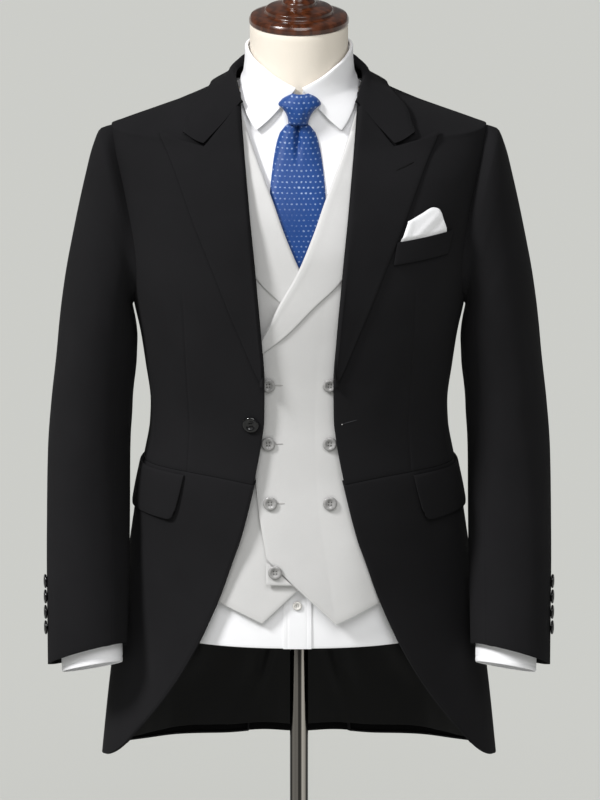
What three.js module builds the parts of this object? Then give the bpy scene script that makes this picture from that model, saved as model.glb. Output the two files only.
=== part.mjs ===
// A morning suit shown on a dress form: tailcoat, double-breasted waistcoat, shirt, tie and pocket
// square, each panel a thin wall of cloth, over a limbless form on a pole and a round foot.
// Millimetres, +Z up, the front faces -Y. The origin is the middle of the foot's underside.
// "turn" is an angle round the body in degrees: 0 at the front middle, 90 at the wearer's left
// (+X) side, 180 at the back middle. A wall lies between two outsets from a body surface.
import * as THREE from "three";
import { mergeVertices } from "three/addons/utils/BufferGeometryUtils.js";

// Cloth thicknesses and the gaps between layers.
const COAT_CLOTH = 2.4;
const LINING_CLOTH = 1.0;
const VEST_CLOTH = 2.0;
const SHIRT_CLOTH = 1.2;
const TIE_CLOTH = 3;
const SEAM = 0.3;
const OVERLAY_GAP = 0.8;

// The coat.
const HEM = 642;
const WAIST_SEAM = 1031;
const WAIST_RISE = 9;
const NECK_POINT = 1497;
const COAT_NAPE = 1500;
const SHOULDER_POINT = 1443.5;
const ARMHOLE = { middle: 1335, reach: 108, depth: 60, egg: 0.3, y: 5, lean: 3 };
const SEAM_TOP = 1255;
const FLAP = { frontX: 137, slant: 12, backTurn: 104, drop: 4, height: 58, corner: 7 };
const WELT = { near: 116, far: 183, rise: 4.5, base: 1306, height: 27 };
const FRONT_BUTTON = { x: 57.5, z: 1111, radius: 10 };
const CUFF_BUTTON = { around: 6, lowest: 829, pitch: 17.7, count: 4, radius: 8.6 };

// The waistcoat.
const VEST_OVER = 4.1;
const VEST_BUTTON_RADIUS = 8.5;
const VEST_SIDE_HEM = 905;
const VEST_ARMPIT = 1215;

// The shirt.
const SHIRT_HEM = 821;
const PLACKET = { left: -19, right: 15 };
const SHIRT_BUTTON = { x: -2, z: 876, radius: 5.7 };

// The dress form.
const FORM_BASE = 862;
const NECK_TOP = 1571;
const CAP_RADIUS = 59.5;
const POLE_RADIUS = 11;
const FOOT = { radius: 200, height: 14, hub: 30, hubTop: 60 };

// Body sections, from the bottom up: half width at the side, depth in front and behind, how far
// back the side point sits, and the squareness of the section (2 is an ellipse).
const COAT_SECTIONS = [
  { z: 636, half: 240, front: 143, back: 157, mid: 12, square: 2.3 },
  { z: 768, half: 226, front: 137, back: 146, mid: 30, square: 2.3 },
  { z: 860, half: 212, front: 133, back: 134, mid: 32, square: 2.3 },
  { z: 936, half: 201.5, front: 130, back: 122, mid: 22, square: 2.3 },
  { z: 990, half: 194, front: 128, back: 112, mid: 8, square: 2.3 },
  { z: 1029, half: 187, front: 126, back: 104, mid: 0, square: 2.3 },
  { z: 1076, half: 179, front: 125, back: 100, mid: 0, square: 2.3 },
  { z: 1101, half: 178, front: 126, back: 101, mid: 0, square: 2.3 },
  { z: 1151, half: 184, front: 130, back: 107, mid: 0, square: 2.3 },
  { z: 1191, half: 190, front: 134, back: 113, mid: 0, square: 2.3 },
  { z: 1228, half: 198, front: 137, back: 117, mid: 1, square: 2.3 },
  { z: 1261, half: 204, front: 139, back: 120, mid: 2, square: 2.3 },
  { z: 1305, half: 211, front: 138, back: 122, mid: 3, square: 2.3 },
  { z: 1348, half: 217, front: 132, back: 121, mid: 4, square: 2.3 },
  { z: 1394, half: 223, front: 114, back: 116, mid: 6, square: 2.3 },
  { z: 1420, half: 226, front: 99, back: 109, mid: 8, square: 2.25 },
  { z: 1443.5, half: 224, front: 84, back: 98, mid: 9, square: 2.2 },
  { z: 1448.5, half: 212, front: 82.6, back: 96, mid: 9, square: 2.2 },
  { z: 1465, half: 167, front: 78, back: 89, mid: 9, square: 2.2 },
  { z: 1482, half: 119.5, front: 76, back: 84.8, mid: 9, square: 2.15 },
  { z: 1491, half: 97, front: 75, back: 81, mid: 8, square: 2.1 },
  { z: 1500, half: 83, front: 73, back: 78, mid: 6, square: 2.05 },
  { z: 1512, half: 75, front: 71, back: 75, mid: 5, square: 2 },
  { z: 1530, half: 71, front: 69, back: 73, mid: 4, square: 2 },
];
const FORM_SECTIONS = [
  { z: 800, half: 176, front: 101, back: 107, mid: 0, square: 2.25 },
  { z: 850, half: 178, front: 103, back: 109, mid: 0, square: 2.25 },
  { z: 900, half: 177, front: 103, back: 108, mid: 0, square: 2.25 },
  { z: 960, half: 172, front: 101, back: 101, mid: 0, square: 2.25 },
  { z: 1030, half: 163, front: 98, back: 90, mid: 0, square: 2.25 },
  { z: 1090, half: 158, front: 98, back: 88, mid: 0, square: 2.25 },
  { z: 1150, half: 163, front: 102, back: 94, mid: 0, square: 2.25 },
  { z: 1200, half: 169, front: 107, back: 100, mid: 0, square: 2.25 },
  { z: 1260, half: 177, front: 111, back: 106, mid: 0, square: 2.25 },
  { z: 1305, half: 183, front: 110, back: 108, mid: 1, square: 2.25 },
  { z: 1348, half: 188, front: 105, back: 107, mid: 2, square: 2.25 },
  { z: 1394, half: 193, front: 90, back: 102, mid: 4, square: 2.2 },
  { z: 1412, half: 195, front: 80, back: 97, mid: 6, square: 2.2 },
  { z: 1431, half: 193, front: 71, back: 91, mid: 8, square: 2.15 },
  { z: 1456, half: 148, front: 64, back: 80.5, mid: 9, square: 2.15 },
  { z: 1474, half: 108, front: 61.5, back: 75, mid: 9, square: 2.1 },
  { z: 1486, half: 83, front: 60, back: 69, mid: 8, square: 2.05 },
  { z: 1496, half: 68, front: 59.5, back: 65, mid: 6, square: 2 },
  { z: 1511, half: 60.5, front: 59, back: 61, mid: 3, square: 2 },
  { z: 1535, half: 58.5, front: 58.5, back: 59, mid: 1, square: 2 },
  { z: 1575, half: 58.5, front: 58.5, back: 58.5, mid: 0, square: 2 },
];

// Front edge of the coat: across at each height, from the hem corner up to the neck.
const FRONT_EDGE = [
  { z: 688, x: 209 },
  { z: 700, x: 200.5 },
  { z: 728, x: 180 },
  { z: 774, x: 150 },
  { z: 825, x: 123 },
  { z: 858, x: 108.5 },
  { z: 887, x: 97 },
  { z: 938, x: 80 },
  { z: 961, x: 72 },
  { z: 1012, x: 59 },
  { z: 1062, x: 48.5 },
  { z: 1090, x: 44 },
  { z: 1113, x: 41.5 },
  { z: 1163, x: 41 },
  { z: 1215, x: 44.5 },
  { z: 1268, x: 49 },
  { z: 1318, x: 53.5 },
  { z: 1362, x: 58 },
  { z: 1404, x: 62 },
  { z: 1440, x: 65.5 },
  { z: 1470, x: 68 },
  { z: 1500, x: 70 },
];

// Seam between the back and the side body, then the pleat of the tail below the waist.
const BACK_SEAM = [
  { z: 636, turn: 158 },
  { z: 860, turn: 162 },
  { z: 1031, turn: 166 },
  { z: 1090, turn: 163 },
  { z: 1150, turn: 153 },
  { z: 1200, turn: 136 },
  { z: 1255, turn: 105 },
];

// Outer edge of the lapel, from the break up to the tip of the peak.
const LAPEL_EDGE = [
  { z: 1158, x: 44 },
  { z: 1172, x: 51 },
  { z: 1201, x: 63 },
  { z: 1245, x: 81 },
  { z: 1302, x: 103 },
  { z: 1360, x: 127 },
  { z: 1412, x: 148 },
  { z: 1449, x: 166 },
];
const GORGE = { neck: { x: 68, z: 1487 }, notch: { x: 112.5, z: 1441 }, collar: { x: 142, z: 1450 } };
const COLLAR_ROLL = [
  { turn: 50, z: 1488 },
  { turn: 66, z: 1508 },
  { turn: 90, z: 1522 },
  { turn: 112, z: 1518 },
  { turn: 180, z: 1521 },
];
const COLLAR_OUTER = [
  { turn: 64, z: 1450 },
  { turn: 68, z: 1469 },
  { turn: 73, z: 1479.5 },
  { turn: 80, z: 1485 },
  { turn: 92, z: 1488 },
  { turn: 180, z: 1486 },
];

// Sleeve rings below the armhole: outer point, inner point, middle and half of the depth, how much
// the front is higher than the middle, and how far front and back are drawn in to the body.
const SLEEVE_RINGS = [
  { outX: 237, outZ: 1438, inX: 200, inZ: 1219, y: 4, depth: 65, up: 0, tuck: 9 },
  { outX: 247, outZ: 1415, inX: 199.5, inZ: 1214, y: 4, depth: 68, up: 0, tuck: 5 },
  { outX: 256, outZ: 1378, inX: 197.5, inZ: 1207, y: 5, depth: 70, up: 0, tuck: 2 },
  { outX: 267, outZ: 1325, inX: 195, inZ: 1196, y: 6, depth: 71, up: 0, tuck: 0 },
  { outX: 279, outZ: 1262, inX: 193.5, inZ: 1178, y: 7, depth: 71, up: 1, tuck: 0 },
  { outX: 289, outZ: 1186, inX: 194.5, inZ: 1150, y: 8, depth: 69, up: 2, tuck: 0 },
  { outX: 297, outZ: 1106, inX: 199.5, inZ: 1100, y: 7, depth: 66, up: 4, tuck: 0 },
  { outX: 302, outZ: 1030, inX: 202.5, inZ: 1032, y: 2, depth: 62, up: 7, tuck: 0 },
  { outX: 303, outZ: 955, inX: 203, inZ: 962, y: -9, depth: 58, up: 11, tuck: 0 },
  { outX: 303, outZ: 885, inX: 204, inZ: 896, y: -27, depth: 53, up: 15, tuck: 0 },
  { outX: 302.5, outZ: 830, inX: 205, inZ: 850, y: -45, depth: 48, up: 17, tuck: 0 },
  { outX: 302, outZ: 787, inX: 206, inZ: 813, y: -58, depth: 44, up: 18, tuck: 0 },
];
// Where round a ring the sleeve's two seams run: 0 is outside, 90 in front, 180 at the body.
const SLEEVE_SEAM = { front: 128, backTop: -85, backHem: -4 };
const CUFF_RINGS = [
  { outX: 287, outZ: 836, inX: 212.8, inZ: 852, y: -43, depth: 37, up: 15, tuck: 0 },
  { outX: 286, outZ: 806, inX: 212.3, inZ: 821, y: -52, depth: 35, up: 14, tuck: 0 },
  { outX: 285, outZ: 778, inX: 211.8, inZ: 791, y: -61, depth: 33.5, up: 13, tuck: 0 },
];
const SHIRT_SLEEVE_RINGS = [
  { outX: 221, outZ: 1385, inX: 199, inZ: 1262, y: 6, depth: 44, up: 0, tuck: 0 },
  { outX: 246, outZ: 1320, inX: 203, inZ: 1226, y: 7, depth: 52, up: 0, tuck: 0 },
  { outX: 266, outZ: 1240, inX: 204, inZ: 1180, y: 8, depth: 54, up: 1, tuck: 0 },
  { outX: 284, outZ: 1120, inX: 210, inZ: 1106, y: 8, depth: 51, up: 3, tuck: 0 },
  { outX: 290, outZ: 1020, inX: 214, inZ: 1022, y: 1, depth: 47, up: 7, tuck: 0 },
  { outX: 289, outZ: 930, inX: 213, inZ: 938, y: -16, depth: 42, up: 12, tuck: 0 },
  { outX: 284.5, outZ: 831, inX: 215.3, inZ: 847, y: -44.6, depth: 34.2, up: 15, tuck: 0 },
];

// Waistcoat: the fold line of the V, and the overlapping edge below it.
const VEST_OPENING = [
  { z: 1190, x: -53 },
  { z: 1202, x: -49 },
  { z: 1219, x: -41 },
  { z: 1252, x: -26 },
  { z: 1301, x: 0 },
  { z: 1340, x: 16.5 },
  { z: 1381, x: 32 },
  { z: 1415, x: 46.5 },
  { z: 1438, x: 54.5 },
  { z: 1461, x: 62 },
  { z: 1480, x: 68 },
];
const VEST_OVER_EDGE = [
  { z: 936, x: -37 },
  { z: 985, x: -45 },
  { z: 1030, x: -49 },
  { z: 1100, x: -52.5 },
  { z: 1160, x: -54 },
  { z: 1190, x: -53 },
];
const VEST_POINT = { x: 43, z: 855 };
const VEST_HEM = [
  { x: 43, z: 855 },
  { x: 94, z: 879 },
  { x: 150, z: 900 },
];
const VEST_LAPEL_EDGE = [
  { z: 1192, x: -48.5 },
  { z: 1222, x: -14 },
  { z: 1254, x: 16 },
  { z: 1284, x: 46 },
  { z: 1320, x: 68 },
  { z: 1370, x: 84 },
  { z: 1420, x: 92 },
  { z: 1452, x: 93 },
];
const VEST_BUTTONS = [
  { name: "waistcoat_button_1", x: -35, z: 1157 },
  { name: "waistcoat_button_2", x: -35, z: 1081 },
  { name: "waistcoat_button_3", x: -33, z: 1006 },
  { name: "waistcoat_button_4", x: 35, z: 1157 },
  { name: "waistcoat_button_5", x: 35, z: 1081 },
  { name: "waistcoat_button_6", x: 35.5, z: 1006 },
];
const TAB_BUTTON = { x: -27.5, z: 921 };

// Shirt collar: height of the fold line and of the lower edge of the leaf, round the neck.
const COLLAR_FOLD = [
  { turn: 4, z: 1506 },
  { turn: 25, z: 1517 },
  { turn: 48, z: 1529 },
  { turn: 90, z: 1542 },
  { turn: 180, z: 1545 },
];
const LEAF_TIP = { turn: 37, z: 1460 };
const LEAF_EDGE = [
  { turn: 37, z: 1460 },
  { turn: 56, z: 1484 },
  { turn: 90, z: 1502 },
  { turn: 180, z: 1505 },
];

// Tie: half width of the blade and of the knot.
const TIE_BLADE = [
  { z: 1095, half: 0.8 },
  { z: 1134, half: 39 },
  { z: 1250, half: 37 },
  { z: 1383, half: 33 },
  { z: 1408, half: 30.5 },
  { z: 1438, half: 25.5 },
  { z: 1454, half: 21 },
  { z: 1469, half: 12 },
];
const KNOT = [
  { z: 1470, half: 10.5, out: 19 },
  { z: 1483, half: 15.5, out: 22 },
  { z: 1497, half: 22.5, out: 21 },
  { z: 1505, half: 14, out: 17 },
  { z: 1509, half: 9, out: 13 },
];

const degrees = THREE.MathUtils.degToRad;
const mix = (a, b, t) => a + (b - a) * t;
const clamp = THREE.MathUtils.clamp;
const smooth = (t) => THREE.MathUtils.smoothstep(t, 0, 1);

// A monotone cubic curve through the rows' values of one column, read against another.
function curveThrough(rows, from, to) {
  const sorted = [...rows].sort((p, q) => p[from] - q[from]);
  const xs = sorted.map((row) => row[from]);
  const ys = sorted.map((row) => row[to]);
  const last = xs.length - 1;
  const slopes = xs.slice(1).map((x, i) => (ys[i + 1] - ys[i]) / (x - xs[i]));
  const tangents = xs.map((_, i) => {
    if (i === 0) return slopes[0];
    if (i === last) return slopes[last - 1];
    const [before, after] = [slopes[i - 1], slopes[i]];
    return before * after <= 0 ? 0 : (2 * before * after) / (before + after);
  });
  return (x) => {
    const at = clamp(x, xs[0], xs[last]);
    let i = 0;
    while (i < last - 1 && at > xs[i + 1]) i += 1;
    const span = xs[i + 1] - xs[i];
    const t = (at - xs[i]) / span;
    const [t2, t3] = [t * t, t * t * t];
    return (
      (2 * t3 - 3 * t2 + 1) * ys[i] +
      (t3 - 2 * t2 + t) * span * tangents[i] +
      (3 * t2 - 2 * t3) * ys[i + 1] +
      (t3 - t2) * span * tangents[i + 1]
    );
  };
}

// A body surface through the sections of a table.
// How far the shoulders sink behind their ridge.
function shoulderFall(x, y, z) {
  const behind = Math.max(y - 9, 0);
  return ((0.31 * behind ** 2) / (behind + 12)) * smooth((Math.abs(x) - 70) / 110) * smooth((z - 1340) / 90);
}
function bodySurface(sections, fall, ripple = () => 0) {
  const half = curveThrough(sections, "z", "half");
  const front = curveThrough(sections, "z", "front");
  const back = curveThrough(sections, "z", "back");
  const mid = curveThrough(sections, "z", "mid");
  const square = curveThrough(sections, "z", "square");
  const point = (turn, z) => {
    const s = Math.sin(degrees(turn));
    const c = Math.cos(degrees(turn));
    const n = square(z);
    const depth = c > 0 ? front(z) : back(z);
    const reach = (Math.abs(s / half(z)) ** n + Math.abs(c / depth) ** n) ** (-1 / n);
    const r = reach + ripple(turn, z);
    const spot = new THREE.Vector3(r * s, -r * c + mid(z) * s * s, z);
    spot.z -= fall * shoulderFall(spot.x, spot.y, z);
    return spot;
  };
  const normal = (turn, z) => {
    const round = point(turn + 1, z).sub(point(turn - 1, z));
    const rise = point(turn, z + 1).sub(point(turn, z - 1));
    return round.cross(rise).normalize();
  };
  const outset = (turn, z, distance) => point(turn, z).addScaledVector(normal(turn, z), distance);
  const turnAt = (x, z) => {
    const n = square(z);
    const across = Math.min(Math.abs(x) / half(z), 1);
    const depth = front(z) * (1 - across ** n) ** (1 / n);
    return (Math.sign(x) * 180 * Math.atan2(Math.abs(x), depth)) / Math.PI;
  };
  const backTurnAt = (y, z) => {
    const n = square(z);
    const depth = y < mid(z) ? front(z) : back(z);
    const deep = Math.min(Math.abs(y - mid(z)) / depth, 1);
    const x = half(z) * (1 - deep ** n) ** (1 / n);
    return (180 * Math.atan2(x, mid(z) - y)) / Math.PI;
  };
  const perMillimetre = (turn, z) => 2 / point(turn + 1, z).distanceTo(point(turn - 1, z));
  return { point, normal, outset, turnAt, backTurnAt, perMillimetre };
}

// Soft folds that the tails fall into, deeper towards the hem.
const tailFolds = (turn, z) => {
  const away = smooth((Math.abs(turn) - 84) / 30);
  return 3.4 * away * smooth((985 - z) / 330) * Math.sin(degrees(Math.abs(turn) * 11.5));
};
const coat = bodySurface(COAT_SECTIONS, 1, tailFolds);
const figure = bodySurface(FORM_SECTIONS, 1.12);

const frontEdgeX = curveThrough(FRONT_EDGE, "z", "x");
const backSeamTurn = curveThrough(BACK_SEAM, "z", "turn");

function material(color, roughness, metalness = 0) {
  return new THREE.MeshStandardMaterial({ color, roughness, metalness });
}
const coatCloth = material(0x1d1d1f, 0.85);
const liningSatin = material(0x0f0f10, 0.4);
const vestCloth = material(0xd3d2d1, 0.85);
const shirtCotton = material(0xf5f5f8, 0.8);
const tieSilk = material(0x2c5099, 0.5);
const formJersey = material(0xece4d8, 0.8);
const turnedWood = material(0x4a1d0e, 0.25);
const steel = material(0xa8a39c, 0.2, 1);
const hornBlack = material(0x17171a, 0.3);
const hornGrey = material(0x9c9a98, 0.4);
const pearl = material(0xf1eee8, 0.3);

const suit = new THREE.Group();

// A closed mesh from points and faces, turned right side out.
function solidFrom(name, points, faces, finish) {
  const positions = new Float32Array(points.flatMap((p) => [p.x, p.y, p.z]));
  let volume = 0;
  for (const [a, b, c] of faces) volume += points[a].dot(points[b].clone().cross(points[c]));
  const outward = volume > 0 ? faces : faces.map(([a, b, c]) => [a, c, b]);
  const geometry = new THREE.BufferGeometry();
  geometry.setAttribute("position", new THREE.BufferAttribute(positions, 3));
  geometry.setIndex(outward.flat());
  const mesh = new THREE.Mesh(mergeVertices(geometry, 1e-4), finish);
  mesh.name = name;
  return mesh;
}

// A wall of cloth: place(u, v, face) gives the point of its inner (0) or outer (1) face.
function wall(name, across, along, finish, place, ring = false) {
  const us = ring ? across : across + 1;
  const vs = along + 1;
  const points = [];
  for (const face of [1, 0])
    for (let j = 0; j < vs; j += 1)
      for (let i = 0; i < us; i += 1) points.push(place(i / across, j / along, face));
  const at = (i, j, face) => (1 - face) * us * vs + j * us + (i % us);
  const faces = [];
  const quad = (a, b, c, d) => faces.push([a, b, c], [a, c, d]);
  for (let j = 0; j < along; j += 1)
    for (let i = 0; i < across; i += 1) {
      quad(at(i, j, 1), at(i + 1, j, 1), at(i + 1, j + 1, 1), at(i, j + 1, 1));
      quad(at(i, j, 0), at(i, j + 1, 0), at(i + 1, j + 1, 0), at(i + 1, j, 0));
    }
  for (let i = 0; i < across; i += 1) {
    quad(at(i + 1, 0, 1), at(i, 0, 1), at(i, 0, 0), at(i + 1, 0, 0));
    quad(at(i, along, 1), at(i + 1, along, 1), at(i + 1, along, 0), at(i, along, 0));
  }
  if (!ring)
    for (let j = 0; j < along; j += 1) {
      quad(at(0, j, 1), at(0, j + 1, 1), at(0, j + 1, 0), at(0, j, 0));
      quad(at(across, j + 1, 1), at(across, j, 1), at(across, j, 0), at(across, j + 1, 0));
    }
  return solidFrom(name, points, faces, finish);
}

// Adds a piece of the wearer's left side, and its mirror image on the right side.
function addPair(name, build) {
  const left = build(name + "_left");
  const right = new THREE.Mesh(left.geometry, left.material);
  right.name = name + "_right";
  right.scale.x = -1;
  suit.add(left, right);
}

// The piecewise linear value of a list at a share from 0 to 1.
function along(levels, share) {
  const at = share * (levels.length - 1);
  const i = Math.min(Math.floor(at), levels.length - 2);
  return mix(levels[i], levels[i + 1], at - i);
}

// Armhole of the coat: its depth at a height, before (-1) or behind (1), and its lower curve.
function armholeY(z, side) {
  const c = clamp((z - ARMHOLE.middle) / ARMHOLE.reach, -1, 1);
  const s = Math.sqrt(1 - c * c);
  return ARMHOLE.y + ARMHOLE.lean * c + side * ARMHOLE.depth * s * (1 - ARMHOLE.egg * c);
}
function armholeFloor(y) {
  const side = y < ARMHOLE.y - ARMHOLE.lean ? -1 : 1;
  let z = ARMHOLE.middle - ARMHOLE.reach;
  while (side * (y - armholeY(z, side)) > 0 && z < ARMHOLE.middle) z += 0.5;
  return z;
}
const sideSeamTurn = coat.backTurnAt(armholeY(SEAM_TOP, -1), SEAM_TOP);
const armholeTurn = (z, side) => coat.backTurnAt(armholeY(z, side), z);

// Height of a point near the waist seam, which rises a little between front edge and side.
const WAIST_SPAN = { from: 22, to: 88, reach: 90 };
function atWaist(turn, z) {
  const share = clamp((turn - WAIST_SPAN.from) / (WAIST_SPAN.to - WAIST_SPAN.from), 0, 1);
  const near = smooth(1 - Math.abs(z - WAIST_SEAM) / WAIST_SPAN.reach);
  return z + WAIST_RISE * Math.sin(Math.PI * share) * near;
}

// A piece on a body surface: each row gives, for a share of the way across, a turn and a height.
// Its left and right edges stand half a seam back.
function piece(name, surface, finish, across, rows, inner, outer, seam = SEAM / 2) {
  const depth = (value, turn, z) => (typeof value === "function" ? value(turn, z) : value);
  return wall(name, across, rows.length - 1, finish, (u, v, face) => {
    const row = rows[Math.round(v * (rows.length - 1))];
    const at = row(u);
    const away = seam * surface.perMillimetre(at.turn, at.z) * (1 - 2 * u);
    const turn = at.turn + Math.sign(row(1).turn - row(0).turn) * away;
    return surface.outset(turn, at.z, depth(face ? outer : inner, turn, at.z));
  });
}
const levelRow = (z, left, right, bend = (turn, height) => height) => (u) => {
  const turn = mix(left(z), right(z), u);
  return { turn, z: bend(turn, z, u) };
};

const UPPER_LEVELS = [1394, 1420, 1443.5, 1457, 1472, 1486, NECK_POINT];
const BODICE_LEVELS = [WAIST_SEAM + SEAM, 1072, 1113, 1150, 1190, 1224, SEAM_TOP];
const coatEdge = (z) => coat.turnAt(frontEdgeX(z), z);

// Coat: foreparts, side bodies, back with its tails, skirts and their lining.
addPair("coat_forepart", (name) => {
  const edge = (z) => {
    if (z <= SEAM_TOP) return sideSeamTurn;
    return z < SHOULDER_POINT ? Math.min(armholeTurn(z, -1), 90) : 90;
  };
  const levels = [...BODICE_LEVELS, 1282, 1316, 1356, ...UPPER_LEVELS];
  const rows = levels.map((z) => levelRow(z, coatEdge, edge, atWaist));
  return piece(name, coat, coatCloth, 7, rows, -COAT_CLOTH, 0);
});
addPair("coat_sidebody", (name) => {
  const dip = (turn, z, u) => {
    const floor = armholeFloor(coat.point(turn, z).y) - 1;
    const share = u === 0 || u === 1 ? 0 : smooth((z - 1150) / (SEAM_TOP - 1150));
    return atWaist(turn, z) - Math.max(z - floor, 0) * share;
  };
  const rows = BODICE_LEVELS.map((z) => levelRow(z, () => sideSeamTurn, backSeamTurn, dip));
  return piece(name, coat, coatCloth, 7, rows, -COAT_CLOTH, 0);
});
const TAIL_LEVELS = [HEM, 662, 700, 750, 810, 880, 950, 995];
addPair("coat_back", (name) => {
  const edge = (z) => {
    if (z <= SEAM_TOP) return backSeamTurn(z);
    return z < SHOULDER_POINT ? Math.max(armholeTurn(z, 1), 90) : 90;
  };
  const levels = [...TAIL_LEVELS, ...BODICE_LEVELS, 1282, 1316, 1356, ...UPPER_LEVELS];
  const rows = levels.map((z) => levelRow(z, edge, () => 180));
  return piece(name, coat, coatCloth, 4, rows, -COAT_CLOTH, 0);
});
const HEM_CORNER = { rise: 46, share: 0.26, power: 1.3, tip: 7 };
addPair("coat_skirt", (name) => {
  const cells = 14;
  const split = (z) => {
    const even = mix(coatEdge(z), backSeamTurn(z), 0.5);
    return mix(even, sideSeamTurn, smooth((z - 840) / (WAIST_SEAM - 840)));
  };
  const rows = [...TAIL_LEVELS, WAIST_SEAM - SEAM].map((z) => (u) => {
    const share = ((WAIST_SEAM - z) / (WAIST_SEAM - HEM)) ** 2;
    const middle = split(z);
    const edge = coatEdge(z + (HEM_CORNER.rise + HEM_CORNER.tip) * share);
    const first = mix(edge, middle, Math.min(2 * u, 1));
    const turn = u <= 0.5 ? first : mix(middle, backSeamTurn(z), 2 * u - 1);
    const corner = HEM_CORNER.rise * (1 - smooth(u / HEM_CORNER.share)) ** HEM_CORNER.power;
    const low = corner + HEM_CORNER.tip * (1 - smooth((turn - 80) / 60));
    const lift = low * share;
    return { turn, z: atWaist(turn, z + lift) };
  });
  return piece(name, coat, coatCloth, cells, rows, -COAT_CLOTH, 0);
});
addPair("tail_lining", (name) => {
  const gap = COAT_CLOTH + 2.2;
  const levels = [HEM + 12, 710, 790, 880, 950, 1000];
  const rows = levels.map((z) => levelRow(z, () => 108, () => 178.5));
  return piece(name, coat, liningSatin, 11, rows, -gap - LINING_CLOTH, -gap);
});

// Lapels, laid on the foreparts: a patch between the roll line, the outer edge and the gorge.
const lapelEdgeX = curveThrough(LAPEL_EDGE, "z", "x");
const between = (a, b, t) => ({ x: mix(a.x, b.x, t), z: mix(a.z, b.z, t) });
function patch(left, right, top, bottom) {
  return (u, v) => {
    const sides = between(left(v), right(v), u);
    const ends = between(bottom(u), top(u), v);
    const corners = between(between(left(0), right(0), u), between(left(1), right(1), u), v);
    return { x: sides.x + ends.x - corners.x, z: sides.z + ends.z - corners.z };
  };
}
const BREAK = LAPEL_EDGE[0].z;
const lapelShape = (() => {
  const peak = LAPEL_EDGE[LAPEL_EDGE.length - 1];
  const roll = (v) => {
    const z = mix(BREAK, GORGE.neck.z - 4, v);
    return { x: frontEdgeX(z) + 1 + v, z };
  };
  const outer = (v) => {
    const z = mix(BREAK, peak.z, v);
    return { x: lapelEdgeX(z), z };
  };
  const share = 0.4;
  const notch = { x: GORGE.notch.x, z: GORGE.notch.z - 3.8 };
  const top = (u) =>
    u < share ? between(roll(1), notch, u / share) : between(notch, peak, (u - share) / (1 - share));
  return patch(roll, outer, top, (u) => between(roll(0), outer(0), u));
})();
const LAPEL_ROLL = 3;
addPair("coat_lapel", (name) =>
  wall(name, 5, 9, coatCloth, (u, v, face) => {
    const { x, z } = lapelShape(u, v);
    const turn = coat.turnAt(x, z);
    const lift = LAPEL_ROLL * (1 - u) ** 2 * Math.sin(Math.PI * clamp(v, 0.02, 0.98)) ** 0.5;
    const clear = OVERLAY_GAP + 2.6 * smooth((z - 1425) / 25);
    return coat.outset(turn, z, clear + lift + face * COAT_CLOTH);
  }),
);

// Coat collar: a band round the neck from the roll down to its outer edge.
const rollZ = curveThrough(COLLAR_ROLL, "turn", "z");
const outerZ = curveThrough(COLLAR_OUTER, "turn", "z");
suit.add(
  wall("coat_collar", 32, 5, coatCloth, (u, v, face) => {
    const side = u < 0.5 ? 1 : -1;
    const round = 1 - Math.abs(2 * u - 1);
    const fold = mix(COLLAR_ROLL[0].turn, 180, round);
    const edge = mix(COLLAR_OUTER[0].turn, 180, round);
    let turn = mix(fold, edge, v);
    let z = mix(rollZ(fold), outerZ(edge), v);
    const end = (1 - smooth(round / 0.16)) * (1 - v ** 16);
    const neck = { turn: coat.turnAt(GORGE.neck.x, GORGE.neck.z), z: GORGE.neck.z };
    const notch = { turn: coat.turnAt(GORGE.notch.x, GORGE.notch.z), z: GORGE.notch.z };
    const tip = { turn: coat.turnAt(GORGE.collar.x, GORGE.collar.z), z: GORGE.collar.z };
    const before = v < 0.6 + 1e-6;
    const from = before ? neck : notch;
    const to = before ? notch : tip;
    const t = before ? v / 0.6 : (v - 0.6) / 0.4;
    turn = mix(turn, mix(from.turn, to.turn, t), end);
    z = mix(z, mix(from.z, to.z, t), end);
    const stand = 2.6 * smooth((z - 1503) / 8) * (1 - smooth(v / 0.3));
    const ridge = 1.2 + 5.2 * Math.exp(-(((turn - 72) / 16) ** 2));
    return coat.outset(side * turn, z, face ? ridge + COAT_CLOTH : ridge - stand);
  }),
);

// Pocket flaps under the waist seam, and the breast welt.
addPair("coat_flap", (name) => {
  const start = coat.turnAt(FLAP.frontX, WAIST_SEAM);
  const low = coat.turnAt(FLAP.frontX + FLAP.slant, WAIST_SEAM - FLAP.height);
  const rows = [0, 0.12, 0.35, 0.7, 1].map((v) => (u) => {
    const turn = mix(mix(low, start, v), FLAP.backTurn, u);
    const top = atWaist(turn, WAIST_SEAM) - FLAP.drop;
    const round = v === 0 ? FLAP.corner * ((1 - smooth(u / 0.12)) + smooth((u - 0.9) / 0.1)) : 0;
    return { turn, z: top - FLAP.height * (1 - v) + round * 0.5 };
  });
  return piece(name, coat, coatCloth, 8, rows, 1.1, 1.1 + COAT_CLOTH);
});
const weltTop = (x) => WELT.base + WELT.height + (WELT.rise * (x - WELT.near)) / (WELT.far - WELT.near);
suit.add(
  wall("coat_welt", 5, 2, coatCloth, (u, v, face) => {
    const x = mix(WELT.near - 4 * (1 - v), WELT.far - 7 * (1 - v), u);
    const z = weltTop(x) - WELT.height * (1 - v);
    return coat.outset(coat.turnAt(x, z), z, OVERLAY_GAP + face * COAT_CLOTH);
  }),
);

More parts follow.
